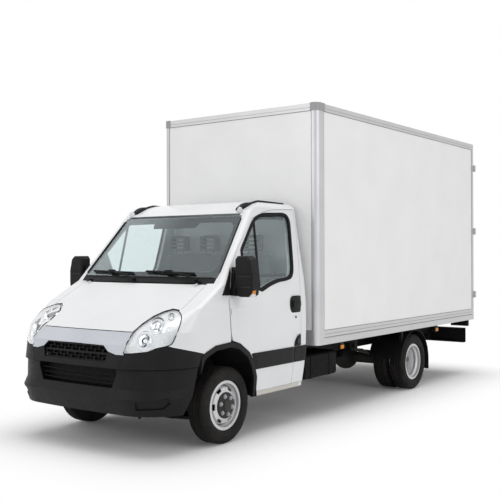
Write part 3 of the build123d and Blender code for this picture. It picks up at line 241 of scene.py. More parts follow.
NUT = brushed("zinc_steel", (0.42, 0.42, 0.43), (0.56, 0.56, 0.57), 0.28, 0.42, (1, 1, 1))
SEAL = grained("rubber_seal", (0.006, 0.006, 0.0065), (0.010, 0.010, 0.011), 0.5, 0.7, 500, 0.0003, 0.15)
CHASSIS = grained(
    "chassis_black", (0.006, 0.006, 0.0065), (0.014, 0.0135, 0.013), 0.45, 0.7, 120, 0.0008, 0.15
)
IRON = grained("cast_iron", (0.03, 0.029, 0.028), (0.06, 0.058, 0.055), 0.55, 0.8, 160, 0.0012)
PLY = grained("coated_plywood", (0.075, 0.045, 0.028), (0.12, 0.075, 0.045), 0.4, 0.6, 260, 0.0006)
ALUMINIUM = brushed("aluminium_profile", (0.555, 0.555, 0.56), (0.585, 0.585, 0.59), 0.44, 0.5, (1, 1, 30))
# A darker black than the bumper's for the fuel tank: painted shade, as the tank lies in the box's shadow
TANK_SHADE_BLACK = grained("tank_black_painted_shade", (0.003, 0.003, 0.0033), (0.005, 0.005, 0.0055), 0.5, 0.65, 500, 0.0004, 0.08)
CAP_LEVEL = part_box("box_corner_posts")[1].z - 0.085
POST = capped("post_and_cap", CAP_LEVEL, ((0.55, 0.55, 0.57), (0.59, 0.59, 0.61)), (0.36, 0.36, 0.37))
# Grey sealant for the wall joints, also used for dark lines along the rail grooves as painted shade
SEALANT_AND_GROOVE_SHADE = grained("grey_sealant_and_groove_shade", (0.20, 0.20, 0.205), (0.27, 0.27, 0.275), 0.6, 0.8, 300, 0.0003)
SILL = paint("sill_beige", (0.60, 0.58, 0.52), (0.66, 0.64, 0.58), 0.5, coat=0.1)
STEEL = brushed("exhaust_steel", (0.26, 0.24, 0.22), (0.40, 0.38, 0.36), 0.35, 0.6, (1, 12, 1))
LAMP_SILVER = polished("lamp_silver", (0.88, 0.89, 0.90), (0.94, 0.95, 0.96), 0.30, 0.15)
CHROME = polished("lamp_chrome", (0.86, 0.87, 0.89), (0.92, 0.93, 0.94), 0.10, 0.95)
GLASS = window("window_glass", (0.86, 0.93, 0.95), (0.93, 0.965, 0.965), 0.075)
LENS = window("lamp_lens", (0.90, 0.91, 0.92), (0.97, 0.975, 0.98), 0.03)
AMBER = grained("amber_lens", (0.60, 0.20, 0.008), (0.74, 0.28, 0.012), 0.10, 0.18, 90, 0.0003, 0.25)
RED = grained("red_lens", (0.30, 0.008, 0.008), (0.42, 0.012, 0.012), 0.10, 0.18, 90, 0.0003, 0.5)
CLEAR = grained("clear_lens", (0.62, 0.64, 0.67), (0.78, 0.79, 0.81), 0.08, 0.16, 90, 0.0003, 0.6)
MIRROR = brushed("mirror_glass", (0.82, 0.84, 0.86), (0.88, 0.89, 0.90), 0.02, 0.04, (1, 1, 1))
CLOTH = cloth("seat_cloth", (0.16, 0.165, 0.175), (0.23, 0.235, 0.245))

FINISH = {
    "white_paint": WHITE,
    "silver_paint": SILVER,
    "black_plastic": BLACK,
    "black_gloss": GLOSS,
    "lamp_lens": LENS,
    "window_glass": GLASS,
    "cab_lining": LINING,
    "seat_cloth": CLOTH,
    "tyre_rubber": RUBBER,
    "wheel_silver": WHEEL,
    "chassis_black": CHASSIS,
    "cast_steel": IRON,
    "exhaust_steel": STEEL,
    "aluminium": ALUMINIUM,
    "wall_white": PANEL,
    "floor_wood": PLY,
    "lamp_amber": AMBER,
}

# Nodes whose finish differs from the rest of their slot; the fuel tank's is a darker black, painted shade for
# the box's shadow over it
OWN_FINISH = {"box_corner_posts": POST, "fuel_tank": TANK_SHADE_BLACK}


def finish_nodes():
    """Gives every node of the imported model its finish."""
    for part in frame["record"]["subparts"]:
        name = part["node"]
        finishes = nodes[name].data.materials
        finishes.clear()
        finishes.append(OWN_FINISH.get(name, FINISH[part["material_slot"]]))


finish_nodes()


# Shaping

def search_tree(*names):
    """The joined surface of some nodes, for finding points on it."""
    surface = bmesh.new()
    for name in names:
        surface.from_mesh(nodes[name].data)
    tree = BVHTree.FromBMesh(surface)
    surface.free()
    return tree


def touch(tree, start, look):
    """Where a straight look from a point meets a surface, and the surface's way out there."""
    place, normal = tree.ray_cast(Vector(start), Vector(look).normalized())[:2]
    if place is None:
        return None, None
    if normal.dot(Vector(look)) > 0:
        normal = -normal
    return place, normal


def shown(name, data):
    """A new object in the scene."""
    made = bpy.data.objects.new(name, data)
    bpy.context.scene.collection.objects.link(made)
    return made


def piece(name, grid, material, body, angle=35):
    """Makes a finished piece of a bmesh: smooth but for its real edges, riding on a body."""
    mesh = bpy.data.meshes.new(name)
    grid.to_mesh(mesh)
    grid.free()
    mesh.materials.append(material)
    mesh.shade_smooth()
    mesh.set_sharp_from_angle(angle=math.radians(angle))
    made = shown(name, mesh)
    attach(made, body)
    return made


def ease(grid, edges, offset, segments=2):
    """Rounds some edges."""
    bmesh.ops.bevel(
        grid, geom=edges, offset=offset, affect="EDGES", segments=segments, profile=0.5, material=-1
    )


def joined(*grids):
    """Several bmeshes as one."""
    total = bmesh.new()
    for grid in grids:
        step = bpy.data.meshes.new("step")
        grid.to_mesh(step)
        grid.free()
        total.from_mesh(step)
        bpy.data.meshes.remove(step)
    return total


def outward(grid):
    """Turns every face of closed shapes outwards."""
    bmesh.ops.recalc_face_normals(grid, faces=grid.faces)
    return grid


def moved(grid, matrix):
    """The bmesh moved by a matrix, turned right side out if the matrix mirrors it."""
    bmesh.ops.transform(grid, matrix=matrix, verts=grid.verts)
    if matrix.determinant() < 0:
        bmesh.ops.reverse_faces(grid, faces=grid.faces)
    return grid


def lathe(profile, steps, axis="X"):
    """A shape turned about an axis through the origin: along the axis, away from it."""
    grid = bmesh.new()
    points = []
    for along, away in profile:
        place = Vector((along, 0, away)) if axis == "X" else Vector((away, 0, along))
        points.append(grid.verts.new(place))
    edges = [grid.edges.new(pair) for pair in zip(points, points[1:])]
    turn = Vector((1, 0, 0)) if axis == "X" else Vector((0, 0, 1))
    bmesh.ops.spin(
        grid, geom=[*points, *edges], cent=(0, 0, 0), axis=turn, angle=math.tau, steps=steps, use_merge=True
    )
    bmesh.ops.remove_doubles(grid, verts=grid.verts, dist=0.00002)
    return outward(grid)


def bar(low, high, bevel=0.004, segments=2):
    """A block between two corners with rounded edges."""
    low, high = Vector(low), Vector(high)
    matrix = Matrix.Translation((low + high) / 2) @ Matrix.Diagonal((*(high - low), 1))
    grid = bmesh.new()
    bmesh.ops.create_cube(grid, size=1, matrix=matrix)
    if bevel:
        ease(grid, grid.edges, bevel, segments)
    return grid


def raise_faces(grid, faces, rise):
    """Lifts faces off their place and closes the sides under them."""
    lifted = bmesh.ops.extrude_face_region(grid, geom=faces)["geom"]
    bmesh.ops.translate(grid, vec=rise, verts=[v for v in lifted if isinstance(v, bmesh.types.BMVert)])


def slab(points, thickness, axis, start, bevel=0.0):
    """A flat outline given thickness along an axis, with rounded edges."""
    grid = bmesh.new()
    corners = []
    for u, v in points:
        corners.append(grid.verts.new({"X": (start, u, v), "Y": (u, start, v)}[axis]))
    face = grid.faces.new(corners)
    rise = {"X": (thickness, 0, 0), "Y": (0, thickness, 0)}[axis]
    raise_faces(grid, [face], rise)
    outward(grid)
    if bevel:
        ease(grid, grid.edges, bevel)
    return grid


def tube(start, end, radius, steps=16, bevel=0.0):
    """A round rod between two points."""
    start, end = Vector(start), Vector(end)
    way = end - start
    turned = way.to_track_quat("Z", "Y").to_matrix().to_4x4()
    grid = bmesh.new()
    bmesh.ops.create_cone(
        grid, cap_ends=True, segments=steps, radius1=radius, radius2=radius, depth=way.length,
        matrix=Matrix.Translation((start + end) / 2) @ turned,
    )
    if bevel:
        rims = [edge for edge in grid.edges if len(edge.link_faces[0].verts) != len(edge.link_faces[1].verts)]
        ease(grid, rims, bevel)
    return grid


def rounded(points, radius, closed=True, steps=4):
    """A path's points with its corners rounded."""
    path = []
    count = len(points)
    for number, here in enumerate(points):
        here = Vector(here)
        if not closed and number in (0, count - 1):
            path.append(here)
            continue
        before, after = Vector(points[number - 1]), Vector(points[(number + 1) % count])
        cut_in = min(radius, (before - here).length * 0.45)
        cut_out = min(radius, (after - here).length * 0.45)
        first = here + (before - here).normalized() * cut_in
        last = here + (after - here).normalized() * cut_out
        for step in range(steps + 1):
            share = step / steps
            path.append(first.lerp(here, share).lerp(here.lerp(last, share), share))
    return path


def spread(points, step, closed=False):
    """The path's points with more between them, at most a step apart."""
    path = []
    ends = points[1:] + points[:1] if closed else points[1:]
    for here, there in zip(points, ends):
        here, there = Vector(here), Vector(there)
        parts = max(1, math.ceil((there - here).length / step))
        path += [here.lerp(there, part / parts) for part in range(parts)]
    if not closed:
        path.append(Vector(points[-1]))
    return path


def strip(tree, starts, look, profile, closed=False, lift=0.0, taper=0.0):
    """A strip laid on a surface along a path.

    The profile is across the strip, height over the surface, or a function that gives it for a share of the
    path.
    """
    hits = [touch(tree, start, look) for start in starts]
    hits = [(place + normal * lift, normal) for place, normal in hits if place is not None]
    grid = bmesh.new()
    rows = []
    count = len(hits)
    for number, (place, normal) in enumerate(hits):
        ahead = hits[(number + 1) % count][0] if closed or number < count - 1 else place
        behind = hits[number - 1][0] if closed or number > 0 else place
        along = (ahead - behind).normalized()
        across = normal.cross(along).normalized()
        share = 1.0
        if taper:
            share = min(1.0, number / (count * taper) + 0.02, (count - 1 - number) / (count * taper) + 0.02)
        section = profile(number / (count - 1)) if callable(profile) else profile
        rows.append([grid.verts.new(place + across * u * share + normal * h * share) for u, h in section])
    pairs = zip(rows, rows[1:] + rows[:1]) if closed else zip(rows, rows[1:])
    for first, second in pairs:
        size = len(first)
        for k in range(size):
            grid.faces.new((first[k], first[(k + 1) % size], second[(k + 1) % size], second[k]))
    if not closed:
        grid.faces.new(list(reversed(rows[0])))
        grid.faces.new(rows[-1])
    return outward(grid)


def flat_profile(width, height, edge=0.003, sunk=0.002):
    """A flat strip's section with eased edges."""
    half = width / 2
    edge = min(edge, half * 0.8)
    return [
        (-half, -sunk), (half, -sunk), (half, height * 0.5), (half - edge, height),
        (-half + edge, height), (-half, height * 0.5),
    ]


def grown(points, amount):
    """A closed path in the side's plane, moved outwards by an amount."""
    count = len(points)
    centre = sum(points, Vector()) / count
    moved_points = []
    for number, here in enumerate(points):
        along = (points[(number + 1) % count] - points[number - 1]).normalized()
        out = along.cross(Vector((1, 0, 0)))
        if out.dot(here - centre) < 0:
            out = -out
        moved_points.append(here + out * amount)
    return moved_points


def in_side(points):
    """Points along and up, in the side's plane."""
    return [(0, y, z) for y, z in points]


def side_shape(points, radius):
    """A closed outline on the van's side with rounded corners, as along and up in the row's frame."""
    return [(AXLE_Y + p.y, p.z) for p in rounded(in_side(points), radius, steps=3)]


# Where a sheet lies at a point that has no van behind it, out from the middle
BARE_SIDE = 0.985


def draped(tree, points, sign, stand, edge=0.005):
    """A sheet with an outline of points along and height, laid on the van's side and raised from it."""
    grid = bmesh.new()
    corners = [grid.verts.new(from_axle(0, y, z)) for y, z in points]
    grid.faces.new(corners)
    for cuts in (1, 1) if len(points) == 3 else (9,):
        bmesh.ops.subdivide_edges(grid, edges=grid.edges, cuts=cuts, use_grid_fill=True)
    for corner in grid.verts:
        place = touch(tree, Vector((OUTSIDE * sign, corner.co.y, corner.co.z)), (-sign, 0, 0))[0]
        corner.co.x = place.x if place else BARE_SIDE * sign
    raise_faces(grid, list(grid.faces), (stand * sign, 0, 0))
    outward(grid)
    rim = [line for line in grid.edges if len(line.link_faces) == 2 and line.calc_face_angle() > 0.9]
    ease(grid, rim, edge, 3)
    return grid


def mirror_x(grid):
    """A copy on the van's other side."""
    return moved(grid.copy(), Matrix.Diagonal((-1, 1, 1, 1)))


def pair_of(name, make, material, bodies, angle=35):
    """The same piece on both sides: its left one and the mirrored right one."""
    left = make()
    right = mirror_x(left)
    piece(f"{name}_left", left, material, bodies[0], angle)
    piece(f"{name}_right", right, material, bodies[1], angle)


# Tyres

TREAD_PITCHES = 76
GROOVE_SHARE = 0.2
GROOVE_DEPTH = 0.006
# The grooved zones across a tyre, from its middle: a rib, and the shoulder down to a radius
RIB = (0.0225, 0.044)
SHOULDER = (0.0535, 0.087)
SHOULDER_RADIUS = 0.318
# Half of a tyre's section from its middle: across, radius
TYRE_HALF = (
    (0.0145, 0.346), (0.0158, 0.3385), (0.0208, 0.3385), (0.0221, 0.346), (0.0445, 0.3457), (0.0458, 0.3385),
    (0.0512, 0.3385), (0.0525, 0.3454), (0.0640, 0.3445), (0.0735, 0.3395), (0.0800, 0.3320), (0.0850, 0.3230),
    (0.0880, 0.3170), (0.0892, 0.3160), (0.0925, 0.3050), (0.0957, 0.2930), (0.0972, 0.2820), (0.0985, 0.2805),
    (0.0985, 0.2765), (0.0973, 0.2750), (0.0965, 0.2620), (0.0935, 0.2490), (0.0905, 0.2420), (0.0908, 0.2400),
    (0.0880, 0.2370), (0.0830, 0.2320), (0.0760, 0.2260), (0.0700, 0.2240), (0.0690, 0.2050),
)


def tyre(centre_x, centre_y):
    """A road tyre: ribbed tread with cross grooves, rounded shoulders and ringed side walls."""
    left = [(-across, radius) for across, radius in reversed(TYRE_HALF)]
    profile = [*left, *TYRE_HALF]
    grid = bmesh.new()
    points = [grid.verts.new((across, 0, radius)) for across, radius in profile]
    edges = [grid.edges.new(pair) for pair in zip(points, points[1:])]
    edges.append(grid.edges.new((points[-1], points[0])))
    pitch = math.tau / TREAD_PITCHES
    geometry = [*points, *edges]
    for share in (1 - GROOVE_SHARE, GROOVE_SHARE):
        made = bmesh.ops.spin(
            grid, geom=geometry, cent=(0, 0, 0), axis=(1, 0, 0), angle=pitch * share, steps=1
        )
        geometry = made["geom_last"]
    grooves = []
    for face in grid.faces:
        middle_place = face.calc_center_median()
        angle = math.atan2(middle_place.y, middle_place.z)
        in_groove = abs(abs(angle) - pitch * (1 - GROOVE_SHARE / 2)) < pitch * GROOVE_SHARE * 0.4
        across = abs(middle_place.x)
        on_shoulder = SHOULDER[0] < across < SHOULDER[1] and middle_place.yz.length > SHOULDER_RADIUS
        on_rib = RIB[0] < across < RIB[1]
        if in_groove and (on_shoulder or on_rib):
            grooves.append(face)
    pushed = bmesh.ops.extrude_face_region(grid, geom=grooves)
    bmesh.ops.delete(grid, geom=grooves, context="FACES_ONLY")
    for corner in [v for v in pushed["geom"] if isinstance(v, bmesh.types.BMVert)]:
        radius = math.hypot(corner.co.y, corner.co.z)
        shrink = (radius - GROOVE_DEPTH) / radius
        corner.co.y *= shrink
        corner.co.z *= shrink
    bmesh.ops.spin(
        grid, geom=[*grid.verts, *grid.edges, *grid.faces], cent=(0, 0, 0), axis=(1, 0, 0),
        angle=math.tau - pitch, steps=TREAD_PITCHES - 1, use_duplicate=True,
    )
    bmesh.ops.remove_doubles(grid, verts=grid.verts, dist=0.00005)
    outward(grid)
    return moved(grid, Matrix.Translation((centre_x, centre_y, TYRE_RADIUS)))


def tyres():
    """Single tyres in front and twin tyres behind."""
    low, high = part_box("front_tyre_left")
    single = (high.x - low.x) / 2
    for side, _ in SIDES:
        front = middle(f"front_tyre_{side}")
        grid = tyre(front.x, front.y)
        made = piece(f"road_tyre_{side}", grid, RUBBER, f"front_wheel_{side}", 28)
        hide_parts(f"front_tyre_{side}")
        low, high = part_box(f"rear_tyres_{side}")
        shift = (high.x - low.x) / 2 - single
        centre = (low + high) / 2
        twins = joined(*[tyre(centre.x + step * shift, centre.y) for step in (-1, 1)])
        made = piece(f"twin_tyres_{side}", twins, RUBBER, f"rear_wheels_{side}", 28)
        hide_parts(f"rear_tyres_{side}")


# Wheel caps

CAP_RADIUS = 0.118
CAP_RISE = 0.014
NUT_COUNT = 6
NUT_WIDTH = 0.0135
NUT_EDGE = 0.0016
# A nut's washer, and its crown over the nut's height: along the axis, away from it
WASHER = ((0.001, 0.0), (0.001, 0.018), (0.004, 0.0195), (0.0, 0.021))
NUT_CROWN = ((-0.002, 0.0095), (0.003, 0.0085), (0.006, 0.005), (0.007, 0.0))
# Each ring of nuts: the circle's radius and the nuts' height, and the rear ring's place out from the middle
FRONT_NUTS = (0.084, 0.012)
REAR_NUTS = (0.105, 0.016)
REAR_NUT_FACE = 0.797
# The rear hub's end: out from the van's middle, away from the axle
HUB_END = ((0.79, 0.085), (0.80, 0.085), (0.803, 0.07), (0.85, 0.062), (0.856, 0.055), (0.858, 0.0))


def hexagon_nut(rise):
    """A wheel nut with its washer and rounded crown, standing along X."""
    body = bmesh.new()
    bmesh.ops.create_cone(
        body, cap_ends=True, segments=6, radius1=NUT_WIDTH, radius2=NUT_WIDTH * 0.96, depth=rise,
        matrix=Matrix.Translation((rise / 2, 0, 0)) @ Matrix.Rotation(math.pi / 2, 4, "Y"),
    )
    ease(body, body.edges, NUT_EDGE)
    washer = lathe(WASHER, 24)
    crown = lathe([(rise + along, away) for along, away in NUT_CROWN], 20)
    return joined(body, washer, crown)


def ring_of_nuts(face, radius, rise):
    """Nuts evenly round a hub, on a face at a place along X."""
    nuts = []
    for number in range(NUT_COUNT):
        turn = Matrix.Rotation(math.tau * (number + 0.25) / NUT_COUNT, 4, "X")
        nuts.append(moved(hexagon_nut(rise), turn @ Matrix.Translation((face, 0, radius))))
    return joined(*nuts)


def front_cap(face):
    """The dark cover over a front wheel's centre."""
    top = face + CAP_RISE
    profile = [
        (face - 0.004, CAP_RADIUS), (face + 0.006, CAP_RADIUS), (top - 0.003, CAP_RADIUS - 0.004),
        (top, CAP_RADIUS - 0.012), (top, 0.064), (top + 0.003, 0.058), (top + 0.006, 0.046),
        (top + 0.006, 0.0),
    ]
    return lathe(profile, 64)


def wheel_caps():
    """Caps, nuts and rear hub ends."""
    for side, sign in SIDES:
        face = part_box(f"front_rim_{side}")[1 if sign > 0 else 0].x * sign
        flip = Matrix.Diagonal((sign, 1, 1, 1))
        place = Matrix.Translation((0, middle(f"front_rim_{side}").y, TYRE_RADIUS)) @ flip
        body = f"front_wheel_{side}"
        piece(f"wheel_cap_{side}", moved(front_cap(face), place), CAP, body)
        nuts = moved(ring_of_nuts(face + CAP_RISE, *FRONT_NUTS), place)
        piece(f"front_nuts_{side}", nuts, NUT, body)
        place = Matrix.Translation((0, middle(f"rear_rims_{side}").y, TYRE_RADIUS)) @ flip
        body = f"rear_wheels_{side}"
        piece(f"rear_hub_{side}", moved(lathe(HUB_END, 40), place), IRON, body)
        nuts = moved(ring_of_nuts(REAR_NUT_FACE, *REAR_NUTS), place)
        piece(f"rear_nuts_{side}", nuts, NUT, body)


# Front lamps

LAMP_TURN = math.radians(36.6)
LAMP_AHEAD = Vector((math.sin(LAMP_TURN), -math.cos(LAMP_TURN), 0))
LAMP_ACROSS = Vector((math.cos(LAMP_TURN), math.sin(LAMP_TURN), 0))
# Round reflectors: across the corner, height, radius, depth
BOWLS = ((0.086, 0.986, 0.074, 0.042), (0.176, 1.100, 0.066, 0.040))
CORNER_BOWL = (0.288, 1.170, 0.030, 0.018)
# The lamp's outline across the front corner: along the corner, height, in millimetres
LAMP_OUTLINE = (
    (-98, 876), (-66, 968), (-26, 1045), (42, 1107), (131, 1167), (216, 1205), (294, 1227), (348, 1221),
    (382, 1185), (381, 1138), (361, 1069), (333, 999), (313, 957), (264, 939), (183, 925), (116, 896),
    (13, 885),
)
# The bright inner panel lies this deep behind the cover, and its wall comes up to this depth
PAN_DEPTH = 0.030
WALL_DEPTH = 0.003
# The panel's corners lie on cuts across and up: the first place, the step and the number
PAN_CUTS = (((1, 0, 0), -0.1, 0.012), ((0, 1, 0), 0.87, 0.009))
CUT_COUNT = 41
# The housing's ribs across the corner: start, step, number
LAMP_RIBS = (0.235, 0.013, 7)


def lamp_point(across, height, ahead=1.6):
    """A point on the left headlamp's own plane: across the corner, height, out in front."""
    return Vector((0, AXLE_Y, height)) + LAMP_ACROSS * across + LAMP_AHEAD * ahead


def left_half(node):
    """A merged copy of a node's left half."""
    grid = bmesh.new()
    grid.from_mesh(nodes[node].data)
    bmesh.ops.delete(grid, geom=[v for v in grid.verts if v.co.x < 0], context="VERTS")
    bmesh.ops.remove_doubles(grid, verts=grid.verts, dist=0.00005)
    return grid


def lamp_cover():
    """The clear outer shell, on the node's own outer face."""
    grid = left_half("headlamps")
    inner = [face for face in grid.faces if face.normal.dot(LAMP_AHEAD) < 0.25]
    bmesh.ops.delete(grid, geom=inner, context="FACES")
    return grid


def lamp_path(step, shrink):
    """The lamp's outline with rounded corners, moved inwards: along the corner and height in Y and Z."""
    corners = [Vector((0, u / 1000, v / 1000)) for u, v in LAMP_OUTLINE]
    return grown(spread(rounded(corners, 0.02), step, True), -shrink)


def lamp_body(tree):
    """The bright inner panel behind the cover, open at the reflectors, with its wall up to the cover."""
    grid = bmesh.new()
    loops = [lamp_path(0.012, 0.004)]
    for across, height, radius, _ in (*BOWLS, CORNER_BOWL):
        centre = Vector((0, across, height))
        turns = [math.tau * k / 40 for k in range(40)]
        loops.append([centre + Vector((0, radius * math.cos(a), radius * math.sin(a))) for a in turns])
    rings = []
    for loop in loops:
        corners = [grid.verts.new((p.y, p.z, 0)) for p in loop]
        rings.append([grid.edges.new(pair) for pair in zip(corners, corners[1:] + corners[:1])])
    wall = bmesh.ops.extrude_edge_only(grid, edges=rings[0])["geom"]
    rim = [v for v in wall if isinstance(v, bmesh.types.BMVert)]
    bmesh.ops.translate(grid, vec=(0, 0, 1), verts=rim)
    flat = [edge for edge in grid.edges if all(v.co.z < 0.5 for v in edge.verts)]
    bmesh.ops.triangle_fill(grid, use_beauty=True, edges=flat)
    for number in range(1, CUT_COUNT + 1):
        for way, first, step in PAN_CUTS:
            geometry = [*grid.verts, *grid.edges, *grid.faces]
            place = Vector(way) * (first + step * number)
            bmesh.ops.bisect_plane(grid, geom=geometry, dist=0.0004, plane_co=place, plane_no=way)
    for corner in grid.verts:
        depth = WALL_DEPTH if corner.co.z > 0.5 else PAN_DEPTH
        place = touch(tree, lamp_point(corner.co.x, corner.co.y), -LAMP_AHEAD)[0]
        corner.co = place - LAMP_AHEAD * depth
    grid.normal_update()
    facing = sum(face.normal.dot(LAMP_AHEAD) for face in grid.faces)
    if facing < 0:
        bmesh.ops.reverse_faces(grid, faces=grid.faces)
    return grid


def bowl(tree, across, height, radius, depth):
    """A round reflector with a bright rim, its bulb and a bulb shield, set just inside the cover."""
    place, normal = touch(tree, lamp_point(across, height), -LAMP_AHEAD)
    way = (normal + LAMP_AHEAD * 1.5).normalized()
    profile = [
        (-depth, 0.0), (-depth, radius * 0.18), (-depth * 0.86, radius * 0.42), (-depth * 0.58, radius * 0.68),
        (-depth * 0.18, radius * 0.9), (0.0, radius * 0.97), (0.004, radius), (0.004, radius * 1.06),
        (-0.004, radius * 1.1), (-depth * 0.5, radius * 1.04),
    ]
    bulb = [(-depth, 0.010), (-depth * 0.25, 0.010), (-depth * 0.1, 0.007), (-depth * 0.06, 0.0)]
    shield = [(-depth * 0.3, 0.0165), (-depth * 0.12, 0.0165), (-depth * 0.02, 0.010), (0, 0.0)]
    whole = joined(lathe(profile, 40, "Z"), lathe(bulb, 20, "Z"), lathe(shield, 24, "Z"))
    turned = way.to_track_quat("Z", "Y").to_matrix().to_4x4()
    return moved(whole, Matrix.Translation(place - way * 0.022) @ turned)


def lamp_ribs(tree):
    """Fine upright ribs on the outer end of the housing."""
    section = flat_profile(0.007, 0.003, 0.002, 0.0)
    ribs = []
    for across in evenly(*LAMP_RIBS):
        starts = [lamp_point(across + step * 0.004, 0.975 + step * 0.02) for step in range(8)]
        ribs.append(strip(tree, starts, -LAMP_AHEAD, section, lift=-0.012))
    return joined(*ribs)


def headlamps():
    """Clear covers over bright housings with two round reflectors and a corner lamp each."""
    tree = search_tree("headlamps")
    shell = search_tree("headlamps", "bonnet", "wings", "silver_panel", "corner_panels")
    bowls = (*BOWLS, CORNER_BOWL)
    pair_of("headlamp_cover", lamp_cover, LENS, BODIES, 40)
    pair_of("headlamp_body", lambda: lamp_body(shell), LAMP_SILVER, BODIES, 30)
    pair_of(
        "headlamp_reflectors", lambda: joined(*[bowl(tree, *values) for values in bowls]),
        CHROME, BODIES, 50,
    )
    pair_of("headlamp_ribs", lambda: lamp_ribs(tree), LAMP_SILVER, BODIES)
    rim = [(0.004, 0.002), (-0.004, 0.002), (-0.004, -0.002), (0.004, -0.002)]
    starts = [lamp_point(p.y, p.z) for p in lamp_path(0.012, 0.0)]
    pair_of(
        "headlamp_seal", lambda: strip(shell, starts, -LAMP_AHEAD, rim, True), SEAL, BODIES
    )
    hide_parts("headlamps")


# Glass edges

# The windscreen's edge on the left half, and the door window's edge: across or along, height
SCREEN_EDGE = ((0.868, 1.492), (0.768, 2.078))
WINDOW_EDGE = (
    (0.250, 1.716), (0.515, 2.010), (0.595, 2.057), (0.700, 2.084), (1.050, 2.098), (1.112, 2.078),
    (1.130, 2.030), (1.102, 1.798), (1.065, 1.549), (1.022, 1.482), (0.915, 1.464), (0.795, 1.456),
    (0.648, 1.423), (0.472, 1.362),
)
# The bar between the door's panes: along, height
DIVIDER = ((0.545, 2.02), (0.486, 1.40))
SCREEN_BORDER = 0.042
SCREEN_TOP_BORDER = 0.060
# The printed border and the sensor field: thickness and depth inside the glass
PRINT = (0.0008, -0.006)
# The sensor field under the top border: start, step and number of its points across, its height at the
# ends and between them
SENSOR_RUN = (-0.30, 0.025, 25)
SENSOR_HEIGHTS = (0.02, 0.055)
SEAL_OUT = 0.007
SEAL_WIDTH = 0.036


def band(tree, outer, inner, look, thickness, lift, closed=True):
    """A thin sheet between two outlines that lies along a surface."""
    grid = bmesh.new()
    rows = []
    for pair in zip(outer, inner):
        hits = [touch(tree, start, look) for start in pair]
        if hits[0][0] is None or hits[1][0] is None:
            continue
        over = [place + normal * lift for place, normal in hits]
        under = [place + normal * (lift - thickness) for place, normal in hits]
        rows.append([grid.verts.new(place) for place in (over[0], over[1], under[1], under[0])])
    pairs = zip(rows, rows[1:] + rows[:1]) if closed else zip(rows, rows[1:])
    for first, second in pairs:
        for k in range(4):
            grid.faces.new((first[k], first[(k + 1) % 4], second[(k + 1) % 4], second[k]))
    if not closed:
        grid.faces.new(list(reversed(rows[0])))
        grid.faces.new(rows[-1])
    return outward(grid)


def screen_border():
    """The windscreen's dark printed edge and sensor field inside, and the seal round it."""
    tree = search_tree("windscreen")
    (low_x, low_z), (high_x, high_z) = SCREEN_EDGE
    edge = 0.004
    outer = [(-low_x + edge, low_z + edge), (low_x - edge, low_z + edge)]
    outer += [(high_x - edge, high_z - edge), (-high_x + edge, high_z - edge)]
    side = SCREEN_BORDER
    inner = [(-low_x + side + 0.02, low_z + 0.05), (low_x - side - 0.02, low_z + 0.05)]
    inner += [(high_x - side, high_z - SCREEN_TOP_BORDER), (-high_x + side, high_z - SCREEN_TOP_BORDER)]
    paths = []
    for points, radius in ((outer, 0.05), (inner, 0.09)):
        ring = rounded([(x, 0, z) for x, z in points], radius, steps=8)
        path = []
        for here, there in zip(ring, ring[1:] + ring[:1]):
            path += [here.lerp(there, part / 6) for part in range(6)]
        paths.append(from_front(path))
    grid = band(tree, *paths, REARWARD, *PRINT)
    piece("screen_border", grid, SEAL, "vehicle")
    top = high_z - SCREEN_TOP_BORDER + 0.004
    upper = [from_axle(x, AHEAD, top) for x in evenly(*SENSOR_RUN)]
    at_end, between = SENSOR_HEIGHTS
    lower = [place - Vector((0, 0, between)) for place in upper]
    for number in (0, -1):
        lower[number] = upper[number] - Vector((0, 0, at_end))
    grid = band(tree, upper, lower, REARWARD, *PRINT, False)
    piece("screen_sensor_field", grid, SEAL, "vehicle")
    corners = [(0, -low_x, low_z), (0, low_x, low_z), (0, high_x, high_z), (0, -high_x, high_z)]
    path = grown(spread(rounded(corners, 0.03), 0.02, True), 0.002)
    starts = [from_axle(p.y, AHEAD, p.z) for p in path]
    shell = search_tree("windscreen", "cab_side_frames", "cab_roof", "cowl")
    seal = strip(shell, starts, REARWARD, flat_profile(0.017, 0.003, 0.003, 0.007), True)
    piece("screen_seal", seal, SEAL, "vehicle")


def door_window_trim():
    """Rubber round the door's window, and the bar between its fixed and sliding panes."""
    for side, sign in SIDES:
        tree = search_tree(f"cab_door_{side}")
        path = spread(rounded(in_side(WINDOW_EDGE), 0.05, steps=5), 0.02, True)
        starts = from_side(grown(path, SEAL_OUT), sign)
        seal = strip(tree, starts, (-sign, 0, 0), flat_profile(SEAL_WIDTH, 0.005, 0.004, 0.017), True)
        piece(f"window_seal_{side}", seal, SEAL, f"cab_door_{side}")
        glass = search_tree(f"door_glass_{side}")
        starts = from_side(spread(in_side(DIVIDER), 0.03), sign)
        bar_strip = strip(glass, starts, (-sign, 0, 0), flat_profile(0.030, 0.005))
        piece(f"window_divider_{side}", bar_strip, SEAL, f"cab_door_{side}")


# Wipers

# Each wiper: its pivot, then its blade's near end and far end, all across and height on the windscreen
WIPERS = (
    ("left", (0.66, 1.462), (0.60, 1.520), (0.00, 1.535)),
    ("right", (-0.10, 1.462), (-0.16, 1.520), (-0.76, 1.530)),
)
# Half the blade holder's size
HOLDER = Vector((0.045, 0.012, 0.012))


def ahead_of(point):
    """Where a look at the front starts, for a point across and up."""
    return from_axle(point[0], AHEAD, point[1])


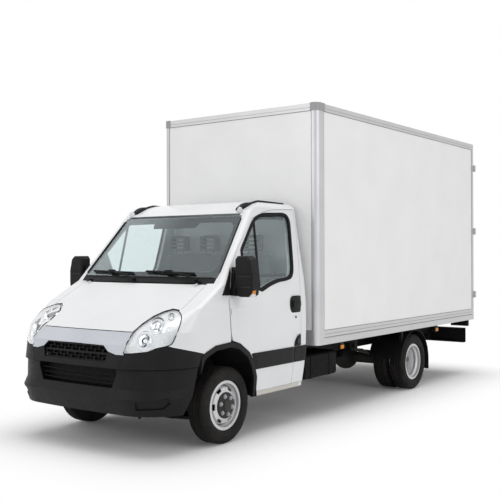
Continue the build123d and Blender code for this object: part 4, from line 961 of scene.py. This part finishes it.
def wipers():
    """Two parked wipers: pivot, arm, blade holder and rubber."""
    tree = search_tree("windscreen", "cowl", "bonnet")
    for name, pivot, near, far in WIPERS:
        parts = []
        hub, normal = touch(tree, ahead_of(pivot), REARWARD)
        parts.append(tube(hub - normal * 0.01, hub + normal * 0.035, 0.019, 20, 0.004))
        blade_path = spread([ahead_of(near), ahead_of(far)], 0.04)
        parts.append(strip(tree, blade_path, REARWARD, flat_profile(0.006, 0.014, 0.001, 0.0)))
        parts.append(strip(tree, blade_path, REARWARD, flat_profile(0.018, 0.008, 0.003, 0.0), lift=0.014))
        middle_point = Vector(near).lerp(Vector(far), 0.5)
        middle_hit, middle_normal = touch(tree, ahead_of(middle_point), REARWARD)
        joint = middle_hit + middle_normal * 0.03
        bend = hub.lerp(joint, 0.35) + normal * 0.035
        for start, end, radius in ((hub + normal * 0.028, bend, 0.011), (bend, joint, 0.008)):
            parts.append(tube(start, end, radius, 12, 0.002))
        parts.append(bar(joint - HOLDER, joint + HOLDER, 0.006))
        piece(f"wiper_{name}", joined(*parts), SEAL, "vehicle")


# Side trim

BAND_Z = (0.632, 0.788)
BAND_SPLIT = 1.0
BAND_REAR = 1.226
BAND_STAND = 0.009
# The broad band's lower front edge follows the wheel arch: along, height
BAND_FRONT = ((0.352, 0.632), (0.268, 0.788))


def side_bands():
    """The dark bands along doors and rear cab corners."""
    low, high = BAND_Z
    door_part = [BAND_FRONT[0], (BAND_SPLIT - 0.003, low), (BAND_SPLIT - 0.003, high), BAND_FRONT[1]]
    corner_part = [(BAND_SPLIT + 0.006, low), (BAND_REAR, low), (BAND_REAR, high), (BAND_SPLIT + 0.006, high)]
    for side, sign in SIDES:
        door_tree = search_tree(f"cab_door_{side}")
        frame_tree = search_tree("cab_side_frames")
        for name, tree, points, body in (
            ("door_band", door_tree, door_part, f"cab_door_{side}"),
            ("corner_band", frame_tree, corner_part, "vehicle"),
        ):
            piece(f"{name}_{side}", draped(tree, points, sign, BAND_STAND), BLACK, body)


HANDLE_Y = (0.948, 1.137)
HANDLE_Z = (1.122, 1.290)
KEY_PLACE = (1.045, 1.078)
# The lock over the door's skin, and the filler cap: along the axis, away from it
KEY_PROFILE = ((-0.004, 0.013), (0.003, 0.013), (0.005, 0.010), (0.005, 0.0))
CAP_PROFILE = ((0.0, 0.030), (0.010, 0.030), (0.014, 0.026), (0.014, 0.0))
# The filler recess behind the left door's foot, and its cap's place: along, height
FILLER = ((1.004, 0.790), (1.128, 0.790), (1.128, 0.905), (1.096, 0.902), (1.052, 0.882), (1.018, 0.842))
FILLER_MIDDLE = (1.07, 0.84)
FILLER_CAP = (1.078, 0.835)


def door_handles():
    """A dark grip plate with its pull handle, and the key lock below it."""
    y0, y1 = HANDLE_Y
    z0, z1 = HANDLE_Z
    plate = [(y0 + 0.03, z0), (y1 - 0.01, z0), (y1, z0 + 0.02), (y1, z1 - 0.01), (y1 - 0.012, z1)]
    plate += [(y0 + 0.045, z1), (y0 + 0.01, z1 - 0.03), (y0, (z0 + z1) / 2), (y0 + 0.008, z0 + 0.03)]
    grip = [(y0 + 0.035, z0 + 0.05), (y1 - 0.015, z0 + 0.05)]
    grip += [(y1 - 0.015, z1 - 0.045), (y0 + 0.035, z1 - 0.045)]
    for side, sign in SIDES:
        tree = search_tree(f"cab_door_{side}", "cab_side_frames")
        look = (-sign, 0, 0)
        flip = Matrix.Diagonal((sign, 1, 1, 1))
        base = touch(tree, from_axle(OUTSIDE * sign, (y0 + y1) / 2, (z0 + z1) / 2), look)[0].x * sign
        parts = []
        for points, out, thick, edge in ((plate, -0.006, 0.013, 0.004), (grip, 0.006, 0.018, 0.006)):
            parts.append(slab(side_shape(points, 0.02), thick, "X", base + out, edge))
        whole = moved(joined(*parts), flip)
        piece(f"door_handle_{side}", whole, BLACK, f"cab_door_{side}")
        skin = abs(touch(tree, from_axle(OUTSIDE * sign, *KEY_PLACE), look)[0].x)
        key = lathe([(skin + along, away) for along, away in KEY_PROFILE], 24)
        whole = moved(key, Matrix.Translation(from_axle(0, *KEY_PLACE)) @ flip)
        piece(f"key_lock_{side}", whole, BLACK, f"cab_door_{side}")


def filler_flap():
    """The dark filler recess behind the left door's foot."""
    tree = search_tree("cab_side_frames")
    skin = touch(tree, from_axle(OUTSIDE, *FILLER_MIDDLE), (-1, 0, 0))[0].x
    flap = slab(side_shape(FILLER, 0.015), 0.006, "X", skin - 0.003, 0.002)
    cap = moved(lathe(CAP_PROFILE, 28), Matrix.Translation(from_axle(skin, *FILLER_CAP)))
    piece("filler_recess", flap, BLACK, "vehicle")
    piece("filler_cap", cap, GLOSS, "vehicle")


# Bodywork crease from the wing to the door's rear edge: along, height
CREASE_LINE = ((-0.60, 1.170), (-0.495, 1.183), (-0.295, 1.207), (0.136, 1.218), (0.50, 1.226), (0.918, 1.235))
# Its section: across the line, out from the skin
CREASE_SECTION = ((-0.030, -0.001), (0.004, -0.001), (0.004, 0.0022), (0.0, 0.0036), (-0.006, 0.0026))


def creases():
    """The shallow raised line along wing and door."""
    line = spread(in_side(CREASE_LINE), 0.012)
    for side, sign in SIDES:
        profile = [(u * sign, h) for u, h in CREASE_SECTION]
        for name, node, start, end, taper, body in (
            ("wing_crease", "wings", -0.56, -0.014, 0.45, "vehicle"),
            ("door_crease", f"cab_door_{side}", 0.006, 0.918, 0.0, f"cab_door_{side}"),
        ):
            path = from_side([p for p in line if start <= p.y <= end], sign)
            grid = strip(search_tree(node), path, (-sign, 0, 0), profile, taper=taper)
            piece(f"{name}_{side}", grid, WHITE, body, 60)


# Roof lamps, markers and tail lamps

ROOF_LAMP_X = 0.695
ABOVE_ROOF = 2.6
ROOF_LAMP_Y = (0.458, 0.505, 1.215)
# The roof strip's half width and height at shares of its length: the lamp's housing, then the plain moulding
STRIP_SHAPE = (
    (0.0, 0.034, 0.030), (0.08, 0.038, 0.040), (0.16, 0.034, 0.036), (0.26, 0.016, 0.018), (1.0, 0.011, 0.011),
)
TAIL_LAMP_X = 0.2235
TAIL_HALF = 0.130
TAIL_FIELDS = ((-0.126, -0.044, "clear"), (-0.040, 0.040, "red"), (0.044, 0.126, "amber"))
MARKER_YS = (0.477, -1.297)


def roof_profile(share):
    """The roof strip's section at a share of its length."""
    for (start, half_a, high_a), (end, half_b, high_b) in zip(STRIP_SHAPE, STRIP_SHAPE[1:]):
        if share <= end:
            part = (share - start) / (end - start)
            half = half_a + (half_b - half_a) * part
            high = high_a + (high_b - high_a) * part
            break
    return [
        (-half, -0.004), (half, -0.004), (half, high * 0.35), (half * 0.75, high * 0.8), (half * 0.35, high),
        (-half * 0.35, high), (-half * 0.75, high * 0.8), (-half, high * 0.35),
    ]


def lens_profile(share):
    """The roof lamp's clear front, rising to the housing."""
    half = 0.024 + 0.012 * share
    high = 0.008 + 0.026 * share ** 0.6
    return [
        (-half, -0.004), (half, -0.004), (half, high * 0.5), (half * 0.6, high), (-half * 0.6, high),
        (-half, high * 0.5),
    ]


def roof_line(start, end):
    """Points over the roof's left edge, from the lamp backwards."""
    path = spread([(ROOF_LAMP_X, start, 0), (ROOF_LAMP_X + 0.028, end, 0)], 0.012)
    return [from_axle(p.x, p.y, ABOVE_ROOF) for p in path]


# The box body's half width, front, rear and underside
BOX_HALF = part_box("box_rear_frame")[1].x
BOX_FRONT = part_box("box_rails")[0].y
BOX_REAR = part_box("box_rails")[1].y + 0.060
BOX_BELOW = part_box("box_rails")[0].z


def tail_lamp():
    """The left tail lamp's dark housing."""
    x = BOX_HALF - TAIL_LAMP_X
    low = (x - TAIL_HALF, BOX_REAR - 0.066, BOX_BELOW - 0.098)
    return bar(low, (x + TAIL_HALF, BOX_REAR - 0.020, BOX_BELOW - 0.008), 0.008, 3)


def tail_field(low, high):
    """One coloured field of the left tail lamp, with a raised rib round it."""
    x = BOX_HALF - TAIL_LAMP_X
    start = (x + low, BOX_REAR - 0.024, BOX_BELOW - 0.092)
    lens = bar(start, (x + high, BOX_REAR - 0.013, BOX_BELOW - 0.014), 0.004, 3)
    face = max(lens.faces, key=lambda f: f.calc_center_median().y + (1 if abs(f.normal.y) > 0.9 else 0))
    bmesh.ops.inset_region(lens, faces=[face], thickness=0.006, depth=-0.0015)
    return lens


def marker_middle(place_y):
    """A side marker's place along the van, from the box's front or back from its rear."""
    return (BOX_FRONT if place_y > 0 else BOX_REAR) + place_y


def marker(place_y):
    """A left side marker's amber lens under the lower rail."""
    y = marker_middle(place_y)
    low = (BOX_HALF - 0.0415, y - 0.032, BOX_BELOW - 0.070)
    return bar(low, (BOX_HALF - 0.016, y + 0.032, BOX_BELOW - 0.030), 0.005, 3)


def marker_foot(place_y):
    """The dark holder of a left side marker."""
    y = marker_middle(place_y)
    low = (BOX_HALF - 0.0465, y - 0.036, BOX_BELOW - 0.074)
    return bar(low, (BOX_HALF - 0.026, y + 0.036, BOX_BELOW - 0.0005), 0.003)


def small_lamps():
    """Roof lamps with their long mouldings, side markers and tail lamps."""
    roof = search_tree("cab_roof")
    down = (0, 0, -1)
    front, mid, rear = ROOF_LAMP_Y
    lens_line = roof_line(front, mid)
    strip_line = roof_line(mid - 0.006, rear)
    pair_of("roof_lamp_lens", lambda: strip(roof, lens_line, down, lens_profile), CLEAR, BODIES)
    pair_of("roof_strip", lambda: strip(roof, strip_line, down, roof_profile), BLACK, BODIES)
    pair_of("tail_lamp_housing", tail_lamp, BLACK, BODIES)
    for low, high, kind in TAIL_FIELDS:
        lens = {"clear": CLEAR, "red": RED, "amber": AMBER}[kind]
        pair_of(f"tail_lamp_{kind}", lambda: tail_field(low, high), lens, BODIES)
    pair_of("side_markers", lambda: joined(*map(marker, MARKER_YS)), AMBER, BODIES)
    pair_of("marker_holders", lambda: joined(*map(marker_foot, MARKER_YS)), BLACK, BODIES)
    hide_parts("lamps")


# Mirror details

# The mirror glasses: across, height
MIRROR_UPPER = (
    (1.022, 1.425), (1.182, 1.425), (1.182, 1.540), (1.158, 1.648), (1.124, 1.674), (1.036, 1.674),
    (1.022, 1.655),
)
MIRROR_LOWER = ((1.028, 1.352), (1.056, 1.338), (1.150, 1.338), (1.174, 1.352), (1.180, 1.404), (1.022, 1.404))
# The turn lamp's two corners from the front axle, and its patch on the outer side: along, height
TURN_LAMP = ((1.130, 0.040, 1.324), (1.1955, 0.098, 1.352))
TURN_PATCH = ((0.038, 1.330), (0.100, 1.330), (0.100, 1.384), (0.052, 1.378))
# The dark lines across the mirror's housing: heights, then start, step and number of points across
MIRROR_LINES = (1.412, 1.508)
MIRROR_RUN = (1.03, 0.008, 20)
MIRROR_AHEAD = -0.6
# The gasket on the door and the fixed cover ahead of it: along, height
GASKET_POINTS = ((0.072, 1.588), (0.120, 1.588), (0.045, 1.338), (-0.006, 1.338))
COVER_POINTS = ((0.066, 1.590), (-0.012, 1.336), (-0.108, 1.340))


def mirror_details():
    """Mirror glasses, turn lamps and the fixed dark covers in front of the door mirrors."""
    for side, sign in SIDES:
        body = f"cab_door_{side}"
        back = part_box(f"mirror_{side}")[1].y
        flip = Matrix.Diagonal((sign, 1, 1, 1))
        glasses = []
        for points in (MIRROR_UPPER, MIRROR_LOWER):
            shape = [(p.x, p.z) for p in rounded([(x, 0, z) for x, z in points], 0.016, steps=4)]
            glasses.append(slab(shape, 0.0025, "Y", back - 0.0015, 0.0008))
        piece(f"mirror_glass_{side}", moved(joined(*glasses), flip), MIRROR, body)
        low, high = (from_axle(*point) for point in TURN_LAMP)
        piece(f"turn_lamp_{side}", moved(bar(low, high, 0.008, 3), flip), CLEAR, body)
        inner = bar(low + Vector((0.004, -0.0015, 0.006)), high + Vector((-0.018, -0.012, -0.003)), 0.003)
        piece(f"turn_lamp_amber_{side}", moved(inner, flip), AMBER, body)
        shell = search_tree(f"mirror_{side}")
        lines = []
        for height in MIRROR_LINES:
            starts = [from_axle(x * sign, MIRROR_AHEAD, height) for x in evenly(*MIRROR_RUN)]
            lines.append(strip(shell, starts, REARWARD, flat_profile(0.005, 0.0008, 0.001, 0.003)))
        piece(f"mirror_lines_{side}", joined(*lines), IRON, body)
        gasket = draped(search_tree(f"cab_door_{side}"), GASKET_POINTS, sign, 0.0015, 0.0005)
        piece(f"mirror_gasket_{side}", gasket, SEAL, body)
        patch = draped(shell, TURN_PATCH, sign, 0.0008, 0.0004)
        piece(f"turn_lamp_side_{side}", patch, AMBER, body)
        tree = search_tree("wings", "cab_side_frames")
        cover = draped(tree, COVER_POINTS, sign, 0.011, 0.004)
        piece(f"mirror_cover_{side}", cover, BLACK, "vehicle")


# Front openings and seams

# The dark sheet behind the grille, painted shade seen through its slots: its outline across and height, then
# its place along
GRILLE_SHADE_SHEET = ((-0.395, 0.795), (0.395, 0.795), (0.41, 0.88), (0.35, 0.93), (-0.35, 0.93), (-0.41, 0.88))
GRILLE_SHADE_SHEET_Y = -0.897
# Across the front: start, step, number
INTAKE_SHADE_RUN = (-0.455, 0.035, 27)
INTAKE_SHADE_Z = 0.660
SLAT_RUN = (-0.450, 0.036, 26)
SEAM_RUN = (-0.23, 0.02, 35)
SEAM_Z = 0.7385
# The towing peg's place across and along, and its two ends' heights
TOW_PEG = (0.62, -0.79)
TOW_PEG_Z = (0.372, 0.318)
UNIT_SEAM = ((0.5805, 0.864), (0.5365, 0.750))
SLAT_HEIGHTS = (0.612, 0.652, 0.692)


def front_openings():
    """Dark sheets behind grille and intake, which are painted shade in those openings, the intake's dark
    slats, and the dark joints between the front's parts.
    """
    bumper = search_tree("front_bumper")
    # A dark sheet deep in the intake, behind its slats: painted shade in the opening
    across = [from_axle(x, AHEAD, INTAKE_SHADE_Z) for x in evenly(*INTAKE_SHADE_RUN)]
    shade = strip(bumper, across, REARWARD, flat_profile(0.155, 0.002, 0.001, 0.0), lift=0.004)
    piece("intake_painted_shade", shade, SEAL, "vehicle")
    slats = []
    for height in SLAT_HEIGHTS:
        starts = [from_axle(x, AHEAD, height) for x in evenly(*SLAT_RUN)]
        slats.append(strip(bumper, starts, REARWARD, flat_profile(0.009, 0.014, 0.002, 0.0), lift=0.056))
    piece("intake_slats", joined(*slats), SEAL, "vehicle")
    # A dark sheet just behind the grille: painted shade in the space behind it
    back = slab(GRILLE_SHADE_SHEET, 0.002, "Y", AXLE_Y + GRILLE_SHADE_SHEET_Y, 0.0005)
    piece("grille_painted_shade", back, SEAL, "vehicle")
    shell = search_tree("front_bumper", "corner_panels", "grille", "arch_linings")
    line = flat_profile(0.010, 0.0012, 0.001, 0.010)

    def corner_seam():
        starts = [lamp_point(across, SEAM_Z) for across in evenly(*SEAM_RUN)]
        return strip(bumper, starts, -LAMP_AHEAD, line)

    pair_of("bumper_seam", corner_seam, SEAL, BODIES)

    def unit_seam():
        (high_x, high_z), (low_x, low_z) = UNIT_SEAM
        starts = from_front(spread([(high_x, 0, high_z), (low_x, 0, low_z)], 0.012))
        return strip(shell, starts, REARWARD, flat_profile(0.008, 0.0012, 0.001, 0.004))

    pair_of("grille_unit_seam", unit_seam, SEAL, BODIES)
    top, foot = (from_axle(*TOW_PEG, height) for height in TOW_PEG_Z)
    piece("tow_eye_peg", tube(top, foot, 0.013, 18, 0.004), SEAL, "vehicle")


# Seats

# Left and right limits of each seat and its number of places
SEATS = (("driver", 0.170, 0.680, 1), ("bench", -0.800, 0.070, 2))
BACK_LEAN = math.radians(-9.3)
# Cushion and backrest: length and thickness, then the middle's place along and up
CUSHION_SIZE = (0.50, 0.125)
CUSHION_PLACE = (0.750, 1.066)
BACK_SIZE = (0.66, 0.105)
BACK_PLACE = (1.045, 1.385)
# Lower and upper heights of a headrest's cross bars
HEADREST_BARS = ((1.735, 1.768), (1.790, 1.808), (1.832, 1.850), (1.874, 1.908))
CHANNEL_HALF = 0.08
CHANNEL_DEPTH = 0.010


def pillow(width, length, height, seams):
    """A padded block: rounded all over, crowned in the middle and pulled in along its sewn channels."""
    grid = bmesh.new()
    bmesh.ops.create_cube(grid, size=2)
    bmesh.ops.subdivide_edges(grid, edges=grid.edges, cuts=17, use_grid_fill=True)
    for corner in grid.verts:
        u, v, w = corner.co
        ball = Vector((
            u * math.sqrt(1 - v * v / 2 - w * w / 2 + v * v * w * w / 3),
            v * math.sqrt(1 - w * w / 2 - u * u / 2 + w * w * u * u / 3),
            w * math.sqrt(1 - u * u / 2 - v * v / 2 + u * u * v * v / 3),
        ))
        soft = corner.co.lerp(ball * 1.12, 0.36)
        channel = 0.0
        for seam in seams:
            channel = max(channel, 1.0 - abs(u - seam) / CHANNEL_HALF)
        sink = CHANNEL_DEPTH * channel
        place = Vector((soft.x * width / 2, soft.y * length / 2, soft.z * height / 2))
        out = Vector((0, 0, math.copysign(1, w))) if abs(w) > 0.6 else Vector((0, math.copysign(1, v), 0))
        corner.co = place - out * sink
    return grid


def headrest(centre):
    """A headrest with three stacked slots between its sides, on two posts."""
    parts = []
    for side in (-1, 1):
        x = centre + side * 0.097
        parts.append(bar(from_axle(x - 0.024, 1.055, 1.735), from_axle(x + 0.024, 1.135, 1.905), 0.018, 4))
        x = centre + side * 0.050
        parts.append(tube(from_axle(x, 1.095, 1.660), from_axle(x, 1.095, 1.750), 0.0065, 14))
    for low, high in HEADREST_BARS:
        start = from_axle(centre - 0.085, 1.062, low)
        parts.append(bar(start, from_axle(centre + 0.085, 1.128, high), 0.008, 3))
    return joined(*parts)


def seats():
    """Driver's seat and double bench: padded cushions, leaning backs, slotted headrests and bases."""
    first = None
    for name, low_x, high_x, places in SEATS:
        width = high_x - low_x
        centre = (low_x + high_x) / 2
        seams = (-1 / 3, 1 / 3) if places == 1 else (-2 / 3, -1 / 9, 1 / 9, 2 / 3)
        place = Matrix.Translation(from_axle(centre, *CUSHION_PLACE))
        cushion = moved(pillow(width, *CUSHION_SIZE, seams), place)
        made = piece(f"seat_cushion_{name}", cushion, CLOTH, "vehicle", 60)
        first = first or made
        turn = Matrix.Translation(from_axle(centre, *BACK_PLACE)) @ Matrix.Rotation(BACK_LEAN, 4, "X")
        upright = turn @ Matrix.Rotation(math.pi / 2, 4, "X")
        leaning = moved(pillow(width * 0.97, *BACK_SIZE, seams), upright)
        made = piece(f"seat_back_{name}", leaning, CLOTH, "vehicle", 60)
        heads = [headrest(low_x + width / places * (k + 0.5)) for k in range(places)]
        made = piece(f"headrest_{name}", joined(*heads), CLOTH, "vehicle")
        base = bar(from_axle(low_x + 0.05, 0.56, 0.7455), from_axle(high_x - 0.05, 0.96, 1.012), 0.012)
        piece(f"seat_base_{name}", base, LINING, "vehicle")
    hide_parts("seats")


# Box details

SEAM_WIDTH = 0.006
# The raised dark line along the upper rails' groove, over the walls' top: painted shade in the groove
GROOVE_SHADE_LINE = (0.028, 0.031)
SILL_STRIP = ((0.415, 0.3765), (1.212, 0.3765), (1.212, 0.414), (0.415, 0.414))
# The plate's half width and its lower and upper edges on the rear bar
PLATE = (0.26, 0.480, 0.592)
# Plate lamps and reflectors: out from the middle, half width, lower and upper edge, stand, edge radius
PLATE_LAMPS = (0.32, 0.03, 0.50, 0.56, 0.026, 0.008)
REFLECTORS = (0.80, 0.06, 0.50, 0.54, 0.007, 0.004)


def fine_lines(runs):
    """Fine square lines, each between two corners."""
    return joined(*[bar(low, high, 0) for low, high in runs])


def box_seams_and_groove_shade():
    """Sealant lines between walls and profiles, and dark lines along the rails' grooves that are painted
    shade.
    """
    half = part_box("box_rails")[1].x
    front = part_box("box_rails")[0].y
    (wall_low, wall_high), (side_low, side_high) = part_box("box_front_wall"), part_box("box_side_walls")
    y0, y1, z0, z1 = side_low.y, side_high.y, side_low.z, side_high.z
    width = SEAM_WIDTH
    groove_shade_low, groove_shade_high = (z1 + height for height in GROOVE_SHADE_LINE)
    out = half - 0.0012
    runs = [
        ((out - 0.004, y0, z0), (out, y1, z0 + width)), ((out - 0.004, y0, z1 - width), (out, y1, z1)),
        ((out - 0.004, y0, z0), (out, y0 + width, z1)), ((out - 0.004, y1 - width, z0), (out, y1, z1)),
        # Dark lines along the upper rail's groove and the lower rail's grooves: painted shade
        ((half - 0.001, y0, groove_shade_low), (half + 0.0008, y1, groove_shade_high)),
        ((half - 0.003, y0, z0 - 0.076), (half - 0.0022, y1, z0 - 0.070)),
        ((half - 0.003, y0, z0 - 0.039), (half + 0.0002, y1, z0 - 0.035)),
    ]
    pair_of("side_wall_seams_and_groove_shade", lambda: fine_lines(runs), SEALANT_AND_GROOVE_SHADE, BODIES)
    face = wall_low.y
    x1 = wall_high.x
    runs = [
        ((-x1, face - 0.0025, z0), (x1, face + 0.001, z0 + width)),
        ((-x1, face - 0.0025, z1 - width), (x1, face + 0.001, z1)),
        ((x1 - width, face - 0.0025, z0), (x1, face + 0.001, z1)),
        ((-x1, face - 0.0025, z0), (-x1 + width, face + 0.001, z1)),
        # Dark line along the upper rail's groove on the front: painted shade
        ((-x1, front - 0.0008, groove_shade_low), (x1, front + 0.001, groove_shade_high)),
    ]
    piece("front_wall_seams_and_groove_shade", fine_lines(runs), SEALANT_AND_GROOVE_SHADE, "vehicle")


def on_bar(place, half, low, high, stand, edge):
    """Two blocks on the rear bar's back face, the same way out from the middle."""
    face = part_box("underrun_bar")[1].y
    blocks = []
    for x in (-place, place):
        blocks.append(bar((x - half, face - 0.001, low), (x + half, face + stand, high), edge, 3))
    return joined(*blocks)


def box_details():
    """Seams and painted groove shade, the sill strips, and plate, plate lamps and reflectors on the rear bar.
    """
    box_seams_and_groove_shade()
    tree = search_tree("cab_side_frames")
    for side, sign in SIDES:
        sill = draped(tree, SILL_STRIP, sign, 0.0012, 0.0005)
        piece(f"sill_strip_{side}", sill, SILL, "vehicle")
    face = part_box("underrun_bar")[1].y
    half, low, high = PLATE
    plate = bar((-half, face - 0.001, low), (half, face + 0.004, high), 0.003)
    piece("blank_plate", plate, PANEL, "vehicle")
    piece("plate_lamps", on_bar(*PLATE_LAMPS), BLACK, "vehicle")
    piece("rear_reflectors", on_bar(*REFLECTORS), RED, "vehicle")


tyres()
wheel_caps()
front_openings()
seats()
box_details()
small_lamps()
mirror_details()
headlamps()
screen_border()
door_window_trim()
wipers()
side_bands()
door_handles()
filler_flap()
creases()


# Studio

LENS_LENGTH = 59.55
CAMERA_PLACE = from_axle(5.5375, -5.8526, 1.7113)
CAMERA_AZIMUTH = math.radians(36.616)
CAMERA_ELEVATION = math.radians(-0.2448)
CAMERA_ROLL = math.radians(-0.1557)
CAMERA_SHIFT_X = 0.0023


def camera():
    """The camera at the photograph's angle."""
    data = bpy.data.cameras.new("camera")
    data.lens = LENS_LENGTH
    data.sensor_width = 36
    data.shift_x = CAMERA_SHIFT_X
    data.clip_end = 500
    view = shown("camera", data)
    level = math.cos(CAMERA_ELEVATION)
    across, along = math.sin(CAMERA_AZIMUTH) * level, -math.cos(CAMERA_AZIMUTH) * level
    back = Vector((across, along, math.sin(CAMERA_ELEVATION)))
    view.rotation_mode = "QUATERNION"
    turned = Matrix.Rotation(CAMERA_ROLL, 4, back)
    view.rotation_quaternion = turned.to_quaternion() @ (-back).to_track_quat("-Z", "Y")
    view.location = CAMERA_PLACE
    bpy.context.scene.camera = view


def lamp(name, place, target, size, power):
    """A soft square lamp that looks at a point."""
    data = bpy.data.lights.new(name, "AREA")
    data.shape = "SQUARE"
    data.size = size
    data.energy = power
    light = shown(name, data)
    light.location = place
    light.rotation_mode = "QUATERNION"
    light.rotation_quaternion = (Vector(target) - Vector(place)).to_track_quat("-Z", "Y")


# Name, place, the point it looks at, size, power
LAMPS = (
    ("top_lamp", (0.5, -1.5, 17.0), (0, -0.5, 0), 13.0, 1150),
    ("front_lamp", (-3.0, -10.0, 5.0), (0, -2.0, 1.2), 4.0, 95),
    ("side_lamp", (9.0, -2.0, 4.5), (0, 0.5, 1.5), 4.0, 94),
)
FLOOR_WHITE = 0.97
SKY_LIGHT = 0.52
# The floor's shaded part under the van, and how far beyond it the shade has gone
FLOOR_HALF = (0.75, 3.0, 1.0)
FLOOR_FADE = (-0.15, 1.3)


def seen_rays(owner):
    """1 for rays from the camera, off a mirror or through glass, and 0 for the light on surfaces."""
    rays = add(owner, "LightPath", {}).outputs
    total = rays["Is Camera Ray"]
    for name in ("Is Glossy Ray", "Is Transmission Ray"):
        total = add(owner, "Math", {0: total, 1: rays[name]}, operation="MAXIMUM").outputs[0]
    return total


def sky():
    """A plain pale surround: white where it is seen, and a softer light on the van."""
    world = bpy.data.worlds.new("studio")
    bpy.context.scene.world = world
    world.use_nodes = True
    levels = {"Value": seen_rays(world), "To Min": SKY_LIGHT, "To Max": 1.0}
    surround = world.node_tree.nodes["Background"]
    feed(world, surround.inputs["Strength"], add(world, "MapRange", levels).outputs["Result"])
    surround.inputs["Color"].default_value = (1, 1, 1, 1)


def floor_material():
    """White, and as bright as the surround where it is seen away from the van."""
    material, main = shader("floor_white", (FLOOR_WHITE,) * 3, 0.9, shine=0.0)
    value = add(material, "TexCoord", {}).outputs["Object"]
    value = add(material, "VectorMath", {0: value}, operation="ABSOLUTE").outputs["Vector"]
    value = add(material, "VectorMath", {0: value, 1: FLOOR_HALF}, operation="SUBTRACT").outputs["Vector"]
    value = add(material, "VectorMath", {0: value, 1: (0, 0, 0)}, operation="MAXIMUM").outputs["Vector"]
    value = add(material, "VectorMath", {0: value}, operation="LENGTH").outputs["Value"]
    fade = {"Value": value, "From Min": FLOOR_FADE[0], "From Max": FLOOR_FADE[1]}
    away = add(material, "MapRange", fade, interpolation_type="SMOOTHSTEP").outputs["Result"]
    share = add(material, "Math", {0: away, 1: seen_rays(material)}, operation="MULTIPLY").outputs[0]
    glow = add(material, "Emission", {}).outputs["Emission"]
    mix = add(material, "MixShader", {"Fac": share, 1: main.outputs["BSDF"], 2: glow})
    feed(material, material.node_tree.nodes["Material Output"].inputs["Surface"], mix.outputs["Shader"])
    return material


def floor():
    """A pale floor that keeps the van's shadow and fades into the white surround."""
    grid = bmesh.new()
    bmesh.ops.create_circle(grid, cap_ends=True, radius=80, segments=96)
    mesh = bpy.data.meshes.new("studio_floor")
    grid.to_mesh(mesh)
    grid.free()
    mesh.materials.append(floor_material())
    ground = shown("studio_floor", mesh)


def studio():
    """Camera, floor, surround and lamps."""
    camera()
    sky()
    floor()
    for values in LAMPS:
        lamp(*values)
    bpy.context.scene.view_settings.view_transform = "Standard"


studio()
